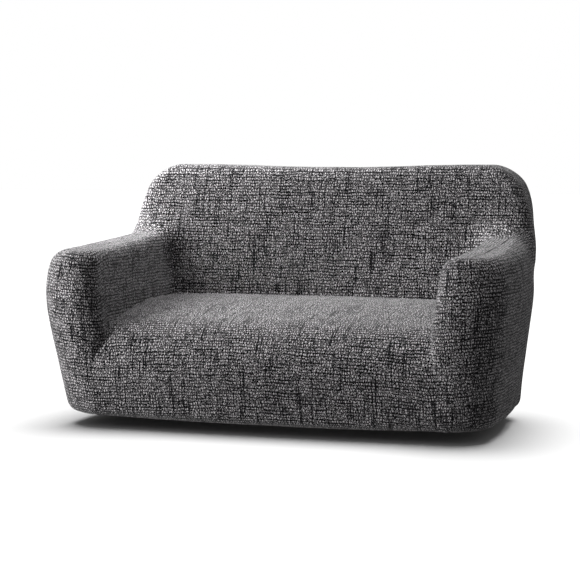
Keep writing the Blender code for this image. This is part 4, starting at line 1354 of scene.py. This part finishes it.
@dataclass(frozen=True)
class Studio:
    """White floor and background, soft light from above and the left, and the camera.

    The floor and the cover have soft lights of their own, and the floor throws no light back on
    the cover, because a white floor and a dark right side don't come from one set of lights.
    """

    floor_z: float = -0.030
    floor_half: float = 30.0
    floor_shade: float = 0.70
    ambient: float = 0.22
    on_floor: tuple = (SoftSun(190.0, 74.0, 5.0, 60.0),)
    on_cover: tuple = (
        SoftSun(270.0, 30.0, 1.7), SoftSun(300.0, 60.0, 1.6), SoftSun(315.0, 8.0, 1.75, 16.0),
        SoftSun(135.0, 8.0, 0.45, 16.0), SoftBox((-0.4, 0.2, 1.6), 12.0),
        SoftBox((-1.3, -1.1, 0.35), 12.0, 0.4, (-0.6, -0.4, 0.3)),
        SoftBox((-1.2, 0.1, 1.1), 26.0, 0.5, (-0.5, 0.3, 0.7)), SoftBox((0.9, 0.1, 1.5), 1.0))
    camera_at: tuple[float, float, float] = (1.7754, -5.4392, 0.8272)
    azimuth: float = 18.4727
    pitch: float = -4.406
    lens: float = 111.22

    def floor(self) -> bpy.types.Object:
        """A wide white sheet that the object stands over."""
        mesh = bpy.data.meshes.new("floor")
        s, z = self.floor_half, self.floor_z
        mesh.from_pydata([(-s, -s, z), (s, -s, z), (s, s, z), (-s, s, z)], [], [(0, 1, 2, 3)])
        obj = bpy.data.objects.new("studio_floor", mesh)
        bpy.context.scene.collection.objects.link(obj)
        material = bpy.data.materials.new("matt_white_paint")
        material.use_nodes = True
        shader = material.node_tree.nodes["Principled BSDF"]
        shader.inputs["Base Color"].default_value = (self.floor_shade,) * 3 + (1.0,)
        shader.inputs["Roughness"].default_value = 1.0
        shader.inputs["Specular IOR Level"].default_value = 0.0
        obj.data.materials.append(material)
        obj.visible_diffuse = False
        return obj

    def lights(self, floor: Sequence, cover: Sequence) -> None:
        """The soft lights, and a surround that is white to look at and dim as a light.

        Args:
            floor: the objects lit evenly from above.
            cover: the objects lit from the left and above.
        """
        world = bpy.data.worlds.new("surround")
        bpy.context.scene.world = world
        world.use_nodes = True
        tree = world.node_tree
        path = add_node(tree, "ShaderNodeLightPath")
        level = add_node(tree, "ShaderNodeMapRange", links={
            0: path.outputs["Is Camera Ray"], 3: self.ambient, 4: 1.0})
        tree.nodes["Background"].inputs["Color"].default_value = (1.0, 1.0, 1.0, 1.0)
        tree.links.new(level.outputs[0], tree.nodes["Background"].inputs["Strength"])
        groups = (("floor_light", self.on_floor, floor), ("cover_light", self.on_cover, cover))
        for name, lights, lit in groups:
            group = bpy.data.collections.new(name)
            for obj in lit:
                group.objects.link(obj)
            for k, light in enumerate(lights):
                light.add("%s_%d" % (name, k)).light_linking.receiver_collection = group

    def camera(self) -> None:
        """The camera at the photograph's angle."""
        data = bpy.data.cameras.new("camera")
        data.lens = self.lens
        data.sensor_width = 36.0
        data.clip_end = 100.0
        obj = bpy.data.objects.new("camera", data)
        obj.location = self.camera_at
        obj.rotation_euler = (math.radians(90.0 + self.pitch), 0.0, math.radians(self.azimuth))
        bpy.context.scene.collection.objects.link(obj)
        bpy.context.scene.camera = obj
        bpy.context.scene.view_settings.view_transform = "Standard"


def main() -> None:
    """Build the panels, dress them and set up the studio."""
    logging.basicConfig(level=logging.INFO, format="%(message)s")
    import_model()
    form = CoverForm(swell=0.0002)
    seams = Seams(form)
    rows = ClothRows(form)
    cloth = MelangeCloth().make("melange_stretch_jacquard")
    kinds = ((SeatPanel, "seat_panel", (1.07, 0.90), {}), (InsideBack, "inside_back", (1.42, 0.66), {}),
             (OutsideBack, "outside_back", (1.62, 0.74), {}),
             (ArmPanel, "arm_right", (1.28, 0.57), {"hand": Hand.RIGHT}),
             (ArmPanel, "arm_left", (1.28, 0.57), {"hand": Hand.LEFT}))
    panels = [kind(form, seams, rows, name, flat, **more).make(cloth) for kind, name, flat, more in kinds]
    for obj in panels:
        LOG.info("%s: %d faces", obj.name, len(obj.data.polygons))
    studio = Studio()
    studio.lights([studio.floor()], panels)
    studio.camera()


if __name__ == "__main__":
    main()
